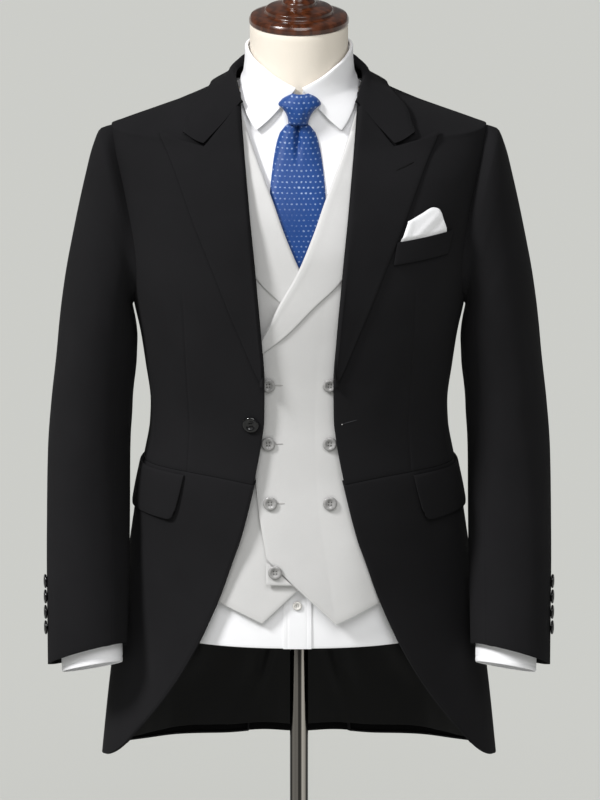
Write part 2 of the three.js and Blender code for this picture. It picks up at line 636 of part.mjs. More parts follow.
// Pocket square: folded flat with one rounded point, standing out of the pocket.
const SQUARE_MOUTH = { near: 120.5, far: 175.5 };
const SQUARE_TOP = [
  { u: 0, x: 129, rise: 22.5 },
  { u: 0.4, x: 146, rise: 29 },
  { u: 0.6, x: 157, rise: 33 },
  { u: 0.74, x: 163.5, rise: 31 },
  { u: 0.86, x: 168.5, rise: 24 },
  { u: 0.94, x: 172, rise: 12 },
  { u: 1, x: 175, rise: 2 },
];
const squareX = curveThrough(SQUARE_TOP, "u", "x");
const squareRise = curveThrough(SQUARE_TOP, "u", "rise");
suit.add(
  wall("pocket_square", 10, 3, shirtCotton, (u, v, face) => {
    const x = mix(mix(SQUARE_MOUTH.near, SQUARE_MOUTH.far, u), squareX(u), v);
    const z = weltTop(x) + SEAM + v * squareRise(u);
    const puff = 2 + 2 * Math.sin(Math.PI * clamp(v * 0.8 + 0.12, 0, 1));
    return coat.outset(coat.turnAt(x, z), z, face ? OVERLAY_GAP + puff : OVERLAY_GAP);
  }),
);

// Sleeves. A ring is an ellipse through its outer, front, inner and back points.
function ringPoint(ring, around, shrink) {
  const c = Math.cos(degrees(around));
  const s = Math.sin(degrees(around));
  const across = new THREE.Vector3(ring.outX - ring.inX, 0, ring.outZ - ring.inZ).multiplyScalar(0.5);
  const forward = new THREE.Vector3(0, -ring.depth, ring.up);
  across.setLength(across.length() - shrink);
  forward.setLength(forward.length() - shrink);
  const point = new THREE.Vector3((ring.outX + ring.inX) / 2, ring.y, (ring.outZ + ring.inZ) / 2);
  point.addScaledVector(across, c).addScaledVector(forward, s);
  point.x -= ring.tuck * s * s;
  return point;
}
const ARMHOLE_OUTSET = 1.3;
function armholePoint(around, shrink) {
  const c = Math.cos(degrees(around));
  const s = Math.sin(degrees(around));
  const z = ARMHOLE.middle + (ARMHOLE.reach + 2 - shrink) * c;
  const depth = (ARMHOLE.depth + 2 - shrink) * (1 - ARMHOLE.egg * c);
  const y = ARMHOLE.y + ARMHOLE.lean * c - depth * s;
  return coat.outset(coat.backTurnAt(y, z), z, ARMHOLE_OUTSET);
}
function sleevePiece(name, cells, from, to) {
  const rows = SLEEVE_RINGS.length;
  return wall(name, cells, rows, coatCloth, (u, v, face) => {
    const row = Math.round(v * rows);
    const spread = 0.3;
    const around = mix(from(v) + spread, to(v) - spread, u);
    const shrink = face ? 0 : COAT_CLOTH;
    return row ? ringPoint(SLEEVE_RINGS[row - 1], around, shrink) : armholePoint(around, shrink);
  });
}
const backSeamAround = (v) => mix(SLEEVE_SEAM.backTop, SLEEVE_SEAM.backHem, smooth((v - 0.2) / 0.8));
addPair("coat_topsleeve", (name) => sleevePiece(name, 8, backSeamAround, () => SLEEVE_SEAM.front));
addPair("coat_undersleeve", (name) =>
  sleevePiece(name, 6, () => SLEEVE_SEAM.front, (v) => backSeamAround(v) + 360),
);

// A button: a turned disc with a raised rim, seated along a normal.
const BUTTON_SIDES = 10;
function button(name, seat, normal, radius, finish) {
  const profile = [
    new THREE.Vector2(0, 0),
    new THREE.Vector2(radius * 0.8, 0),
    new THREE.Vector2(radius, radius * 0.2),
    new THREE.Vector2(radius * 0.7, radius * 0.34),
    new THREE.Vector2(0, radius * 0.26),
  ];
  const points = [new THREE.Vector3(0, 0, 0)];
  for (const p of profile.slice(1, -1))
    for (let i = 0; i < BUTTON_SIDES; i += 1) {
      const a = (i / BUTTON_SIDES) * 2 * Math.PI;
      points.push(new THREE.Vector3(p.x * Math.cos(a), p.x * Math.sin(a), p.y));
    }
  points.push(new THREE.Vector3(0, 0, profile[profile.length - 1].y));
  const rings = profile.length - 2;
  const at = (i, j) => 1 + j * BUTTON_SIDES + (i % BUTTON_SIDES);
  const faces = [];
  for (let i = 0; i < BUTTON_SIDES; i += 1) {
    faces.push([0, at(i + 1, 0), at(i, 0)]);
    faces.push([points.length - 1, at(i, rings - 1), at(i + 1, rings - 1)]);
    for (let j = 0; j < rings - 1; j += 1) {
      faces.push([at(i, j), at(i + 1, j), at(i + 1, j + 1)]);
      faces.push([at(i, j), at(i + 1, j + 1), at(i, j + 1)]);
    }
  }
  const turned = new THREE.Quaternion().setFromUnitVectors(new THREE.Vector3(0, 0, 1), normal);
  const centre = new THREE.Vector3();
  const placed = points.map((p) => p.clone().applyQuaternion(turned).add(seat));
  placed.forEach((p) => centre.add(p));
  centre.divideScalar(placed.length);
  return solidFrom(name, placed, faces, finish, centre);
}
const BUTTON_SEAT = 0.35;
{
  const turn = coat.turnAt(-FRONT_BUTTON.x, FRONT_BUTTON.z);
  const seat = coat.outset(turn, FRONT_BUTTON.z, BUTTON_SEAT);
  suit.add(button("coat_front_button", seat, coat.normal(turn, FRONT_BUTTON.z), FRONT_BUTTON.radius, hornBlack));
}
for (let i = 0; i < CUFF_BUTTON.count; i += 1)
  addPair(`cuff_button_${i + 1}`, (name) => {
    const z = CUFF_BUTTON.lowest + i * CUFF_BUTTON.pitch;
    const column = (key) => curveThrough(SLEEVE_RINGS, "outZ", key)(z);
    const ring = Object.fromEntries(Object.keys(SLEEVE_RINGS[0]).map((key) => [key, column(key)]));
    const at = (around, grow) => ringPoint(ring, around, -grow);
    const out = at(CUFF_BUTTON.around, 1).sub(at(CUFF_BUTTON.around, 0)).normalize();
    out.z = 0;
    out.normalize();
    const seat = at(CUFF_BUTTON.around, 0).addScaledVector(out, BUTTON_SEAT + 0.3);
    return button(name, seat, out, CUFF_BUTTON.radius, hornBlack);
  });

// Rings and turns that the form and the closer layers of cloth share.
const BODY_LEVELS = [900, 960, 1030, 1090, 1150, 1205, 1260, 1305, 1348, 1384, 1408, 1427];
const NECK_LEVELS = [1441, 1456, 1470, 1482, 1491];
const BODY_STEP = 15;
// Rows whose turns keep to whole steps, cut off at the panel's own two edges.
function steppedRows(levels, from, to, cells) {
  return levels.map((z) => (u) => {
    const [start, end] = [from(z), to(z)];
    const first = Math.floor(Math.min(start, from(levels[0])) / BODY_STEP) * BODY_STEP;
    const on = first + Math.round(u * cells) * BODY_STEP;
    return { turn: clamp(u === 0 ? start : u === 1 ? end : on, start, end), z };
  });
}

// Waistcoat. Its fronts are mirror images, the wearer's left one lying over the right one.
const VEST_REST = { middle: 8.8, side: 5.6, over: 5.9 };
const vestOpeningX = curveThrough(VEST_OPENING, "z", "x");
const vestOverX = curveThrough(VEST_OVER_EDGE, "z", "x");
const vestEdgeX = (z) => (z < VEST_OPENING[0].z ? vestOverX(z) : vestOpeningX(z));
const VEST_ARMHOLE = [
  { z: 1215, front: 90, back: 90 },
  { z: 1236, front: 76, back: 106 },
  { z: 1272, front: 66, back: 115 },
  { z: 1330, front: 61, back: 118 },
  { z: 1390, front: 63, back: 115 },
  { z: 1425, front: 73, back: 106 },
  { z: 1448, front: 90, back: 90 },
];
const vestFrontTurn = curveThrough(VEST_ARMHOLE, "z", "front");
const vestBackTurn = curveThrough(VEST_ARMHOLE, "z", "back");
const shoulderEase = (turn, z) => {
  const near = Math.exp(-(((z - 1442) / 18) ** 2));
  return 2.6 * near * (1 - smooth((Math.abs(Math.abs(turn) - 90) - 25) / 30));
};
function vestLift(turn, z, over) {
  const x = Math.abs(figure.point(turn, z).x) * Math.sign(turn);
  const forward = 1 - smooth((Math.abs(turn) - 28) / 50);
  const base = mix(VEST_REST.side, VEST_REST.middle, forward * (1 - smooth((z - 1395) / 60))) + shoulderEase(turn, z);
  const lap = over ? VEST_REST.over * (1 - smooth((x - 58) / 60)) * (1 - smooth((z - 1310) / 60)) : 0;
  return base + lap;
}
const VEST_LEVELS = [985, 1030, 1090, 1150, 1190, 1215, 1240, 1305, 1348, 1390, 1425, 1438, 1450, 1464, 1480];
function vestFront(name, side, over) {
  const corner = { x: vestEdgeX(936), z: 936 };
  const low = [corner, ...VEST_HEM, { x: figure.point(90, VEST_SIDE_HEM).x, z: VEST_SIDE_HEM }];
  const lowPoint = (u) => {
    const at = u * 9;
    if (at < 3) return between(low[0], low[1], at / 3);
    if (at < 5) return between(low[1], low[2], (at - 3) / 2);
    return at < 7 ? between(low[2], low[3], (at - 5) / 2) : between(low[3], low[4], (at - 7) / 2);
  };
  const lowRow = (u) => {
    const { x, z } = lowPoint(u);
    return { turn: u === 1 ? 90 : figure.turnAt(x, z), z };
  };
  const row = (z) => levelRow(z, (h) => figure.turnAt(vestEdgeX(h), h), vestFrontTurn);
  const blend = (share) => (u) => {
    const [a, b] = [lowRow(u), row(VEST_LEVELS[0])(u)];
    return { turn: mix(a.turn, b.turn, share), z: mix(a.z, b.z, share) };
  };
  const rows = [lowRow, blend(0.5), ...VEST_LEVELS.map(row)];
  const sided = rows.map((place) => (u) => {
    const at = place(u);
    return { turn: side * at.turn, z: at.z };
  });
  const inner = (turn, z) => vestLift(side * turn, z, over);
  return piece(name, figure, vestCloth, 9, sided, inner, (turn, z) => inner(turn, z) + VEST_CLOTH);
}
suit.add(vestFront("waistcoat_front_left", 1, true), vestFront("waistcoat_front_right", -1, false));
const vestLapelX = curveThrough(VEST_LAPEL_EDGE, "z", "x");
function vestLapel(name, side, over) {
  const cloth = 1.4;
  return wall(name, 3, 9, vestCloth, (u, v, face) => {
    const z = mix(VEST_LAPEL_EDGE[0].z + 1, 1452, v);
    const x = mix(vestEdgeX(z) + 0.6, Math.max(vestLapelX(z), vestEdgeX(z) + 2), u);
    const clear = 1 + 1.6 * smooth((z - 1400) / 30);
    const lift = vestLift(figure.turnAt(x, z), z, over) + VEST_CLOTH + clear + face * cloth;
    return figure.outset(side * figure.turnAt(x, z), z, lift);
  });
}
suit.add(vestLapel("waistcoat_lapel_left", 1, true), vestLapel("waistcoat_lapel_right", -1, false));
suit.add(
  wall("waistcoat_corner", 3, 2, vestCloth, (u, v, face) => {
    const x = mix(-38, mix(-8, -36.8, v), u);
    const z = mix(905, 933, v);
    const lift = VEST_REST.middle + VEST_REST.over + face * VEST_CLOTH;
    return figure.outset(figure.turnAt(x, z), z, lift);
  }),
);
{
  const levels = [VEST_SIDE_HEM, 960, 1030, 1090, 1150, 1215, 1236, 1272, 1305, 1348, 1390, 1425];
  const rows = steppedRows([...levels, 1438, 1450, 1464, 1480], vestBackTurn, (z) => 360 - vestBackTurn(z), 12);
  const rest = (turn, z) => VEST_REST.side + shoulderEase(turn > 180 ? 360 - turn : turn, z);
  const outer = (turn, z) => rest(turn, z) + VEST_CLOTH;
  suit.add(piece("waistcoat_back", figure, vestCloth, 12, rows, rest, outer));
}
function buttonOnVest(name, x, z, extra) {
  const turn = figure.turnAt(x, z);
  const lift = vestLift(turn, z, true) + VEST_CLOTH + extra;
  const seat = figure.outset(turn, z, lift);
  suit.add(button(name, seat, figure.normal(turn, z), VEST_BUTTON_RADIUS, hornGrey));
}
for (const spec of VEST_BUTTONS) buttonOnVest(spec.name, spec.x, spec.z, BUTTON_SEAT + 0.4);
{
  const turn = figure.turnAt(TAB_BUTTON.x, TAB_BUTTON.z);
  const lift = VEST_REST.middle + VEST_REST.over + VEST_CLOTH + BUTTON_SEAT + 0.2;
  const seat = figure.outset(turn, TAB_BUTTON.z, lift);
  const facing = figure.normal(turn, TAB_BUTTON.z);
  suit.add(button("waistcoat_button_7", seat, facing, VEST_BUTTON_RADIUS, hornGrey));
}

// Shirt. It is cut on the same rings and turns as the form under it.
const SHIRT_REST = 1;
const SHIRT_ARMHOLE = [
  { z: 1305, front: 90, back: 90 },
  { z: 1348, front: 79, back: 101 },
  { z: 1408, front: 79, back: 101 },
  { z: 1427, front: 90, back: 90 },
];
const shirtFrontTurn = curveThrough(SHIRT_ARMHOLE, "z", "front");
const shirtBackTurn = curveThrough(SHIRT_ARMHOLE, "z", "back");
const shirtLevels = [SHIRT_HEM, 862, ...BODY_LEVELS, ...NECK_LEVELS];
function shirtPanel(name, from, to, cells) {
  const rows = steppedRows(shirtLevels, from, to, cells);
  return piece(name, figure, shirtCotton, cells, rows, SHIRT_REST, SHIRT_REST + SHIRT_CLOTH);
}
const middleTurn = (z) => figure.turnAt(SHIRT_BUTTON.x, z);
suit.add(shirtPanel("shirt_front_left", middleTurn, shirtFrontTurn, 7));
suit.add(shirtPanel("shirt_front_right", (z) => -shirtFrontTurn(z), middleTurn, 6));
suit.add(shirtPanel("shirt_back", shirtBackTurn, (z) => 360 - shirtBackTurn(z), 12));
const ON_SHIRT = SHIRT_REST + SHIRT_CLOTH;
suit.add(
  wall("shirt_placket", 2, shirtLevels.length - 1, shirtCotton, (u, v, face) => {
    const z = shirtLevels[Math.round(v * (shirtLevels.length - 1))];
    const turn = figure.turnAt(mix(PLACKET.left, PLACKET.right, u), z);
    return figure.outset(turn, z, ON_SHIRT + 0.6 + face * 0.9);
  }),
);
{
  const { x, z, radius } = SHIRT_BUTTON;
  const turn = figure.turnAt(x, z);
  const seat = figure.outset(turn, z, ON_SHIRT + 1.5 + BUTTON_SEAT);
  suit.add(button("shirt_button", seat, figure.normal(turn, z), radius, pearl));
}
const foldZ = curveThrough(COLLAR_FOLD, "turn", "z");
const leafZ = curveThrough(LEAF_EDGE, "turn", "z");
suit.add(
  wall("shirt_collar_stand", 30, 3, shirtCotton, (u, v, face) => {
    const turn = mix(4, 356, u);
    const round = Math.min(turn, 360 - turn);
    const z = mix(1492.5, foldZ(round) - 2.2, v);
    return figure.outset(turn, z, SHIRT_REST + face * SHIRT_CLOTH);
  }),
);
suit.add(
  wall("shirt_collar_leaf", 30, 3, shirtCotton, (u, v, face) => {
    const turn = mix(4, 356, u);
    const round = Math.min(turn, 360 - turn);
    const side = turn < 180 ? 1 : -1;
    const start = COLLAR_FOLD[0].turn;
    const spread = (180 - LEAF_TIP.turn) / (180 - start);
    const edge = 180 - (180 - round) * spread;
    const at = mix(round, edge, v);
    const z = mix(foldZ(round), leafZ(edge), v);
    const lift = 3 + 3.4 * smooth(v) * (1 - smooth((at - 45) / 50)) + 0.6;
    return figure.outset(side * at, z, (v === 0 && !face ? 3 : lift) + face * SHIRT_CLOTH);
  }),
);

// Shirt sleeves and cuffs, open at the wrist.
function tube(name, cells, rings, cloth, finish) {
  const rows = rings.length - 1;
  return wall(name, cells, rows, finish, (u, v, face) => {
    const ring = rings[Math.round(v * rows)];
    return ringPoint(ring, u * 360, face ? 0 : cloth);
  }, true);
}
addPair("shirt_sleeve", (name) => tube(name, 10, SHIRT_SLEEVE_RINGS, SHIRT_CLOTH, shirtCotton));
addPair("shirt_cuff", (name) => tube(name, 14, CUFF_RINGS, SHIRT_CLOTH, shirtCotton));

// Tie: the blade lies on the shirt, the knot stands in front of the collar.
const bladeHalf = curveThrough(TIE_BLADE, "z", "half");
suit.add(
  wall("tie_blade", 4, 11, tieSilk, (u, v, face) => {
    const levels = [1095, 1134, 1200, 1260, 1305, 1348, 1384, 1408, 1427, 1440, 1453, 1468];
    const z = levels[Math.round(v * 11)];
    const side = 2 * u - 1;
    const x = side * bladeHalf(z) - 1.5;
    const turn = figure.turnAt(x, z);
    const dimple = 2.2 * Math.exp(-((side / 0.3) ** 2)) * smooth((z - 1410) / 30);
    const lift = 4.5 + face * (TIE_CLOTH * (1 - 0.3 * side ** 2) - dimple);
    return figure.outset(turn, z, lift);
  }),
);
const knotHalf = curveThrough(KNOT, "z", "half");
const knotOut = curveThrough(KNOT, "z", "out");
suit.add(
  wall("tie_knot", 6, 6, tieSilk, (u, v, face) => {
    const z = mix(KNOT[0].z, KNOT[KNOT.length - 1].z, v);
    const side = 2 * u - 1;
    const x = side * knotHalf(z) - 1.5;
    const turn = figure.turnAt(x, z);
    const lift = face ? mix(8, knotOut(z), Math.sqrt(1 - 0.9 * side ** 2)) : 6.4;
    return figure.outset(turn, z, lift);
  }),
);

// Dress form: padded body and neck, turned cap, pole and foot.
function ringStack(name, rings, sides, finish) {
  const points = [];
  for (const ring of rings) for (let i = 0; i < sides; i += 1) points.push(ring(i / sides));
  const low = points.length;
  const middle = (ring) => {
    const sum = new THREE.Vector3();
    for (let i = 0; i < sides; i += 1) sum.add(ring(i / sides));
    return sum.divideScalar(sides);
  };
  points.push(middle(rings[0]), middle(rings[rings.length - 1]));
  const at = (i, j) => j * sides + (i % sides);
  const faces = [];
  for (let i = 0; i < sides; i += 1) {
    faces.push([low, at(i, 0), at(i + 1, 0)]);
    faces.push([low + 1, at(i + 1, rings.length - 1), at(i, rings.length - 1)]);
    for (let j = 0; j < rings.length - 1; j += 1) {
      faces.push([at(i, j), at(i, j + 1), at(i + 1, j + 1)]);
      faces.push([at(i, j), at(i + 1, j + 1), at(i + 1, j)]);
    }
  }
  return solidFrom(name, points, faces, finish);
}
function turnedSolid(name, profile, sides, finish) {
  const rings = profile.map(({ r, z }) => (share) => {
    const a = share * 2 * Math.PI;
    return new THREE.Vector3(r * Math.sin(a), -r * Math.cos(a), z);
  });
  return ringStack(name, rings, sides, finish);
}
const formLevels = [FORM_BASE, ...BODY_LEVELS, ...NECK_LEVELS, 1500, 1511, 1535, NECK_TOP];
const formRings = formLevels.map((z) => (share) => figure.point(share * 360, z));
suit.add(ringStack("form_body", formRings, 360 / BODY_STEP, formJersey));
const CAP = [
  { r: CAP_RADIUS, z: NECK_TOP + SEAM },
  { r: CAP_RADIUS, z: 1578 },
  { r: 56.5, z: 1582 },
  { r: 42, z: 1583.5 },
  { r: 40, z: 1590 },
  { r: 20, z: 1593 },
  { r: 20, z: 1598 },
  { r: 14, z: 1604 },
  { r: 21, z: 1620 },
  { r: 23, z: 1632 },
  { r: 17, z: 1645 },
  { r: 6, z: 1651 },
];
suit.add(turnedSolid("form_cap", CAP, 20, turnedWood));
suit.add(
  turnedSolid(
    "stand_pole",
    [
      { r: POLE_RADIUS, z: FOOT.hubTop + SEAM },
      { r: POLE_RADIUS, z: FORM_BASE - SEAM },
    ],
    20,
    steel,
  ),
);
const FOOT_PROFILE = [
  { r: FOOT.radius - 4, z: 0 },
  { r: FOOT.radius, z: 4 },
  { r: FOOT.radius, z: 9 },
  { r: FOOT.radius - 8, z: FOOT.height },
  { r: FOOT.hub + 12, z: FOOT.height + 8 },
  { r: FOOT.hub, z: FOOT.height + 16 },
  { r: 18, z: FOOT.hubTop - 8 },
  { r: 17, z: FOOT.hubTop },
];
suit.add(turnedSolid("stand_foot", FOOT_PROFILE, 24, steel));

export default suit;
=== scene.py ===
"""A morning suit on a dress form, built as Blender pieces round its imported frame.

The tables are in millimetres and the meshes in metres, +Z up, the front facing -Y. "turn" is an
angle round the body in degrees: 0 at the front middle, 90 at the wearer's left side, 180 behind.
A cloth piece is a flat grid bent by a function place(u, v) that gives its outer face.
"""

import math
from functools import partial

import bmesh
import bpy
import numpy as np
from bpy.props import FloatProperty, FloatVectorProperty, PointerProperty
from bpy.types import Operator, Panel, PropertyGroup
from mathutils import Matrix, Vector


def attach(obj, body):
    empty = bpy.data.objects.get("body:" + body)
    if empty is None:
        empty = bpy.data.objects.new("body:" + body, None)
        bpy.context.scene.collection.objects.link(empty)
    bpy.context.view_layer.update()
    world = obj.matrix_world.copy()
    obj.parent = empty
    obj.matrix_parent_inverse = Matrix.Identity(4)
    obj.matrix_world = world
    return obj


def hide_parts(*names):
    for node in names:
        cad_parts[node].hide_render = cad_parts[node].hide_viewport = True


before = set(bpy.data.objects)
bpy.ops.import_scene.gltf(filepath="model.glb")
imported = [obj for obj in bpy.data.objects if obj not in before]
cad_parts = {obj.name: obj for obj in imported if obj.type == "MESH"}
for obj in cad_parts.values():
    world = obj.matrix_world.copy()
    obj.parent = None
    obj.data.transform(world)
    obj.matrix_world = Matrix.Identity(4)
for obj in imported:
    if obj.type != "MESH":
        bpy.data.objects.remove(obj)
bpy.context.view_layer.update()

bl_info = {
    "name": "Morning suit on a dress form",
    "version": (1, 0, 0),
    "blender": (4, 5, 0),
    "location": "3D View > Sidebar > Morning suit",
    "description": "Cloth, buttons, dress form and stage of a morning suit",
    "category": "Object",
}

MM = 0.001

# ---------------------------------------------------------------- sizes shared with the frame
COAT, LINING, VEST, SHIRT, TIE = 2.4, 1.0, 2.0, 1.2, 3.0
OVERLAY = 0.8
WELD = 1e-6
WHITE = ("shirt_cotton",)
HEM, WAIST, NECK, SHOULDER, SEAM_TOP = 642, 1031, 1497, 1443.5, 1255
ARMHOLE = {"middle": 1335, "reach": 108, "depth": 60, "egg": 0.3, "y": 5, "lean": 3}
VEST_MIDDLE, VEST_SIDE, VEST_OVER = 8.8, 5.6, 5.9
ON_SHIRT = 1 + SHIRT

# height, half width, depth in front, depth behind, how far back the side is, squareness
COAT_SECTIONS = [
    (636, 240, 143, 157, 12, 2.3), (768, 226, 137, 146, 30, 2.3), (860, 212, 133, 134, 32, 2.3),
    (936, 201.5, 130, 122, 22, 2.3), (990, 194, 128, 112, 8, 2.3), (1029, 187, 126, 104, 0, 2.3),
    (1076, 179, 125, 100, 0, 2.3), (1101, 178, 126, 101, 0, 2.3), (1151, 184, 130, 107, 0, 2.3),
    (1191, 190, 134, 113, 0, 2.3), (1228, 198, 137, 117, 1, 2.3), (1261, 204, 139, 120, 2, 2.3),
    (1305, 211, 138, 122, 3, 2.3), (1348, 217, 132, 121, 4, 2.3), (1394, 223, 114, 116, 6, 2.3),
    (1420, 226, 99, 109, 8, 2.25), (1443.5, 224, 84, 98, 9, 2.2), (1448.5, 212, 82.6, 96, 9, 2.2),
    (1465, 167, 78, 89, 9, 2.2), (1482, 119.5, 76, 84.8, 9, 2.15), (1491, 97, 75, 81, 8, 2.1),
    (1500, 83, 73, 78, 6, 2.05), (1512, 75, 71, 75, 5, 2), (1530, 71, 69, 73, 4, 2),
]
FORM_SECTIONS = [
    (800, 176, 101, 107, 0, 2.25), (850, 178, 103, 109, 0, 2.25), (900, 177, 103, 108, 0, 2.25),
    (960, 172, 101, 101, 0, 2.25), (1030, 163, 98, 90, 0, 2.25), (1090, 158, 98, 88, 0, 2.25),
    (1150, 163, 102, 94, 0, 2.25), (1200, 169, 107, 100, 0, 2.25), (1260, 177, 111, 106, 0, 2.25),
    (1305, 183, 110, 108, 1, 2.25), (1348, 188, 105, 107, 2, 2.25), (1394, 193, 90, 102, 4, 2.2),
    (1412, 195, 80, 97, 6, 2.2), (1431, 193, 71, 91, 8, 2.15), (1456, 148, 64, 80.5, 9, 2.15),
    (1474, 108, 61.5, 75, 9, 2.1), (1486, 83, 60, 69, 8, 2.05), (1496, 68, 59.5, 65, 6, 2),
    (1511, 60.5, 59, 61, 3, 2), (1535, 58.5, 58.5, 59, 1, 2), (1575, 58.5, 58.5, 58.5, 0, 2),
]
# height, across
FRONT_EDGE = [
    (688, 209), (700, 200.5), (728, 180), (774, 150), (825, 123), (858, 108.5), (887, 97),
    (938, 80), (961, 72), (1012, 59), (1062, 48.5), (1090, 44), (1113, 41.5), (1163, 41),
    (1215, 44.5), (1268, 49), (1318, 53.5), (1362, 58), (1404, 62), (1440, 65.5), (1470, 68),
    (1500, 70),
]
# height, turn
BACK_SEAM = [
    (636, 158), (860, 162), (1031, 166), (1090, 163), (1150, 153), (1200, 136), (1255, 105),
]
LAPEL_EDGE = [
    (1158, 44), (1172, 51), (1201, 63), (1245, 81), (1302, 103), (1360, 127), (1412, 148),
    (1449, 166),
]
LAPEL_NECK = 1483
# across and height of the gorge at the neck, the notch and the corner of the collar
GORGE = [(68, 1487), (112.5, 1441), (142, 1450)]
# turn, height
COLLAR_ROLL = [
    (50, 1488), (66, 1503), (90, 1511), (104, 1509.5), (114, 1511), (124, 1515), (180, 1520),
]
COLLAR_OUTER = [(64, 1450), (68, 1469), (73, 1479.5), (80, 1485), (92, 1488), (180, 1486)]
# outer point across and up, inner point across and up, middle and half depth, front rise, tuck
SLEEVE_RINGS = [
    (237, 1438, 200, 1219, 4, 65, 0, 9), (247, 1415, 199.5, 1214, 4, 68, 0, 5),
    (256, 1378, 197.5, 1207, 5, 70, 0, 2), (267, 1325, 195, 1196, 6, 71, 0, 0),
    (279, 1262, 193.5, 1178, 7, 71, 1, 0), (289, 1186, 194.5, 1150, 8, 69, 2, 0),
    (297, 1106, 199.5, 1100, 7, 66, 4, 0), (302, 1030, 202.5, 1032, 2, 62, 7, 0),
    (303, 955, 203, 962, -9, 58, 11, 0), (303, 885, 204, 896, -27, 53, 15, 0),
    (302.5, 830, 205, 850, -45, 48, 17, 0), (302, 787, 206, 813, -58, 44, 18, 0),
]
CUFF_RINGS = [
    (287, 836, 212.8, 852, -43, 37, 15, 0), (286, 806, 212.3, 821, -52, 35, 14, 0),
    (285, 778, 211.8, 791, -61, 33.5, 13, 0),
]
SHIRT_SLEEVE_RINGS = [
    (221, 1385, 199, 1262, 6, 44, 0, 0), (246, 1320, 203, 1226, 7, 52, 0, 0),
    (266, 1240, 204, 1180, 8, 54, 1, 0), (284, 1120, 210, 1106, 8, 51, 3, 0),
    (290, 1020, 214, 1022, 1, 47, 7, 0), (289, 930, 213, 938, -16, 42, 12, 0),
    (284.5, 831, 215.3, 847, -44.6, 34.2, 15, 0),
]
VEST_OPENING = [
    (1190, -53), (1202, -49), (1219, -41), (1252, -26), (1301, 0), (1340, 16.5), (1381, 32),
    (1415, 46.5), (1438, 54.5), (1461, 62), (1480, 68),
]
VEST_EDGE = [(936, -37), (985, -45), (1030, -49), (1100, -52.5), (1160, -54), (1190, -53)]
VEST_LAPEL = [
    (1192, -48.5), (1222, -14), (1254, 16), (1284, 46), (1320, 68), (1370, 84), (1420, 92),
    (1452, 93),
]
VEST_HEM = [(-37, 936), (43, 855), (94, 879), (150, 900)]
VEST_SIDE_HEM = 905
# height, turn in front, turn behind
VEST_ARMHOLE = [
    (1215, 90, 90), (1236, 76, 106), (1272, 66, 115), (1330, 61, 118), (1390, 63, 115),
    (1425, 73, 106), (1448, 90, 90),
]
SHIRT_ARMHOLE = [(1305, 90, 90), (1348, 79, 101), (1408, 79, 101), (1427, 90, 90)]
COLLAR_FOLD = [(4, 1506), (25, 1517), (48, 1529), (90, 1542), (180, 1545)]
LEAF_EDGE = [(38.5, 1454.5), (56, 1482), (90, 1501), (180, 1505)]
TIE_BLADE = [
    (1095, 0.8), (1134, 39), (1250, 37), (1383, 33), (1408, 30.5), (1438, 25.5), (1454, 20.5),
    (1460, 16.5), (1464, 11.5), (1467, 6),
]
KNOT_HALF = [
    (1464, 11.4), (1470, 12.2), (1476, 14.4), (1481, 17.6), (1484.5, 20.8), (1487, 24),
    (1492, 21.5), (1495.6, 18.6), (1499.3, 13.5), (1502, 8),
]
KNOT_OUT = [(1464, 18), (1480, 21), (1492, 19), (1500, 15), (1505, 11)]
# share across, across, height over the welt
SQUARE_TOP = [
    (0, 129, 22.5), (0.4, 146, 29), (0.6, 157, 33), (0.74, 163.5, 31), (0.86, 168.5, 24),
    (0.94, 172, 12), (1, 175, 2),
]
VEST_BUTTONS = [(-35, 1157), (-35, 1081), (-33, 1006), (35, 1157), (35, 1081), (35.5, 1006)]
TAB_BUTTON, SHIRT_BUTTON, FRONT_BUTTON = (-27.5, 921), (-2, 876), (-57.5, 1108)
CUFF_BUTTONS_FROM, CUFF_BUTTONS_STEP = 829, 17.7
# width and length of pieces across their grids
FLAP, FLAP_CORNER, SKIRT, SLEEVE_LENGTH = (120, 58), 8, (380, 389), 640
PLACKET, LEAF, CUFF = 34, 42, 58
WELT_FROM, WELT_TO, WELT_BASE, WELT_HEIGHT, WELT_SLOPE = 116, 183, 1306, 27, 4.5
# radius, height
CAP = [
    (0, 1571.3), (58.5, 1571.3), (59.5, 1572.5), (59.5, 1577), (57.5, 1581), (50, 1583),
    (42, 1583.6), (40.8, 1585), (40.6, 1589), (38, 1591), (24, 1592.6), (20, 1593.5),
]
FINIAL = [(20, 1593.5), (19.6, 1598), (14, 1604), (21, 1620), (23, 1632), (17, 1645), (0, 1651)]
POLE = [(0, 60.3), (11, 60.3), (11, 861.7), (0, 861.7)]
POLE_WIDTH = 0.022
FOOT = [
    (0, 0), (196, 0), (199, 1), (200, 4), (200, 9), (198, 12), (192, 14), (120, 18), (42, 22),
    (33, 26), (30, 31), (22, 46), (18, 52), (17, 60), (0, 60),
]
# name, turn, height in degrees, strength, spread in degrees
SUNS = [("key", -58, 44, 3.05, 12), ("fill", 6, 49, 1.4, 34)]
SKY_LIGHT, FLOOR_HALF = 0.16, 150
CAMERA_AWAY, CAMERA_TILT, VIEW_HEIGHT, VIEW_MIDDLE = 20.0, 17, 0.96, (0.0012, 1.101)
MIRROR = np.array([-1.0, 1.0, 1.0])


# ---------------------------------------------------------------- curves and surfaces
def unit(t):
    return np.clip(t, 0, 1)


def smooth(t):
    t = unit(t)
    return t * t * (3 - 2 * t)


def mix(a, b, t):
    return a + (b - a) * t


def bell(distance, width):
    return np.exp(-((distance / width) ** 2))


def hermite(a, slope_a, b, slope_b, t):
    return (
        (2 * t**3 - 3 * t**2 + 1) * a
        + (t**3 - 2 * t**2 + t) * slope_a
        + (3 * t**2 - 2 * t**3) * b
        + (t**3 - t**2) * slope_b
    )


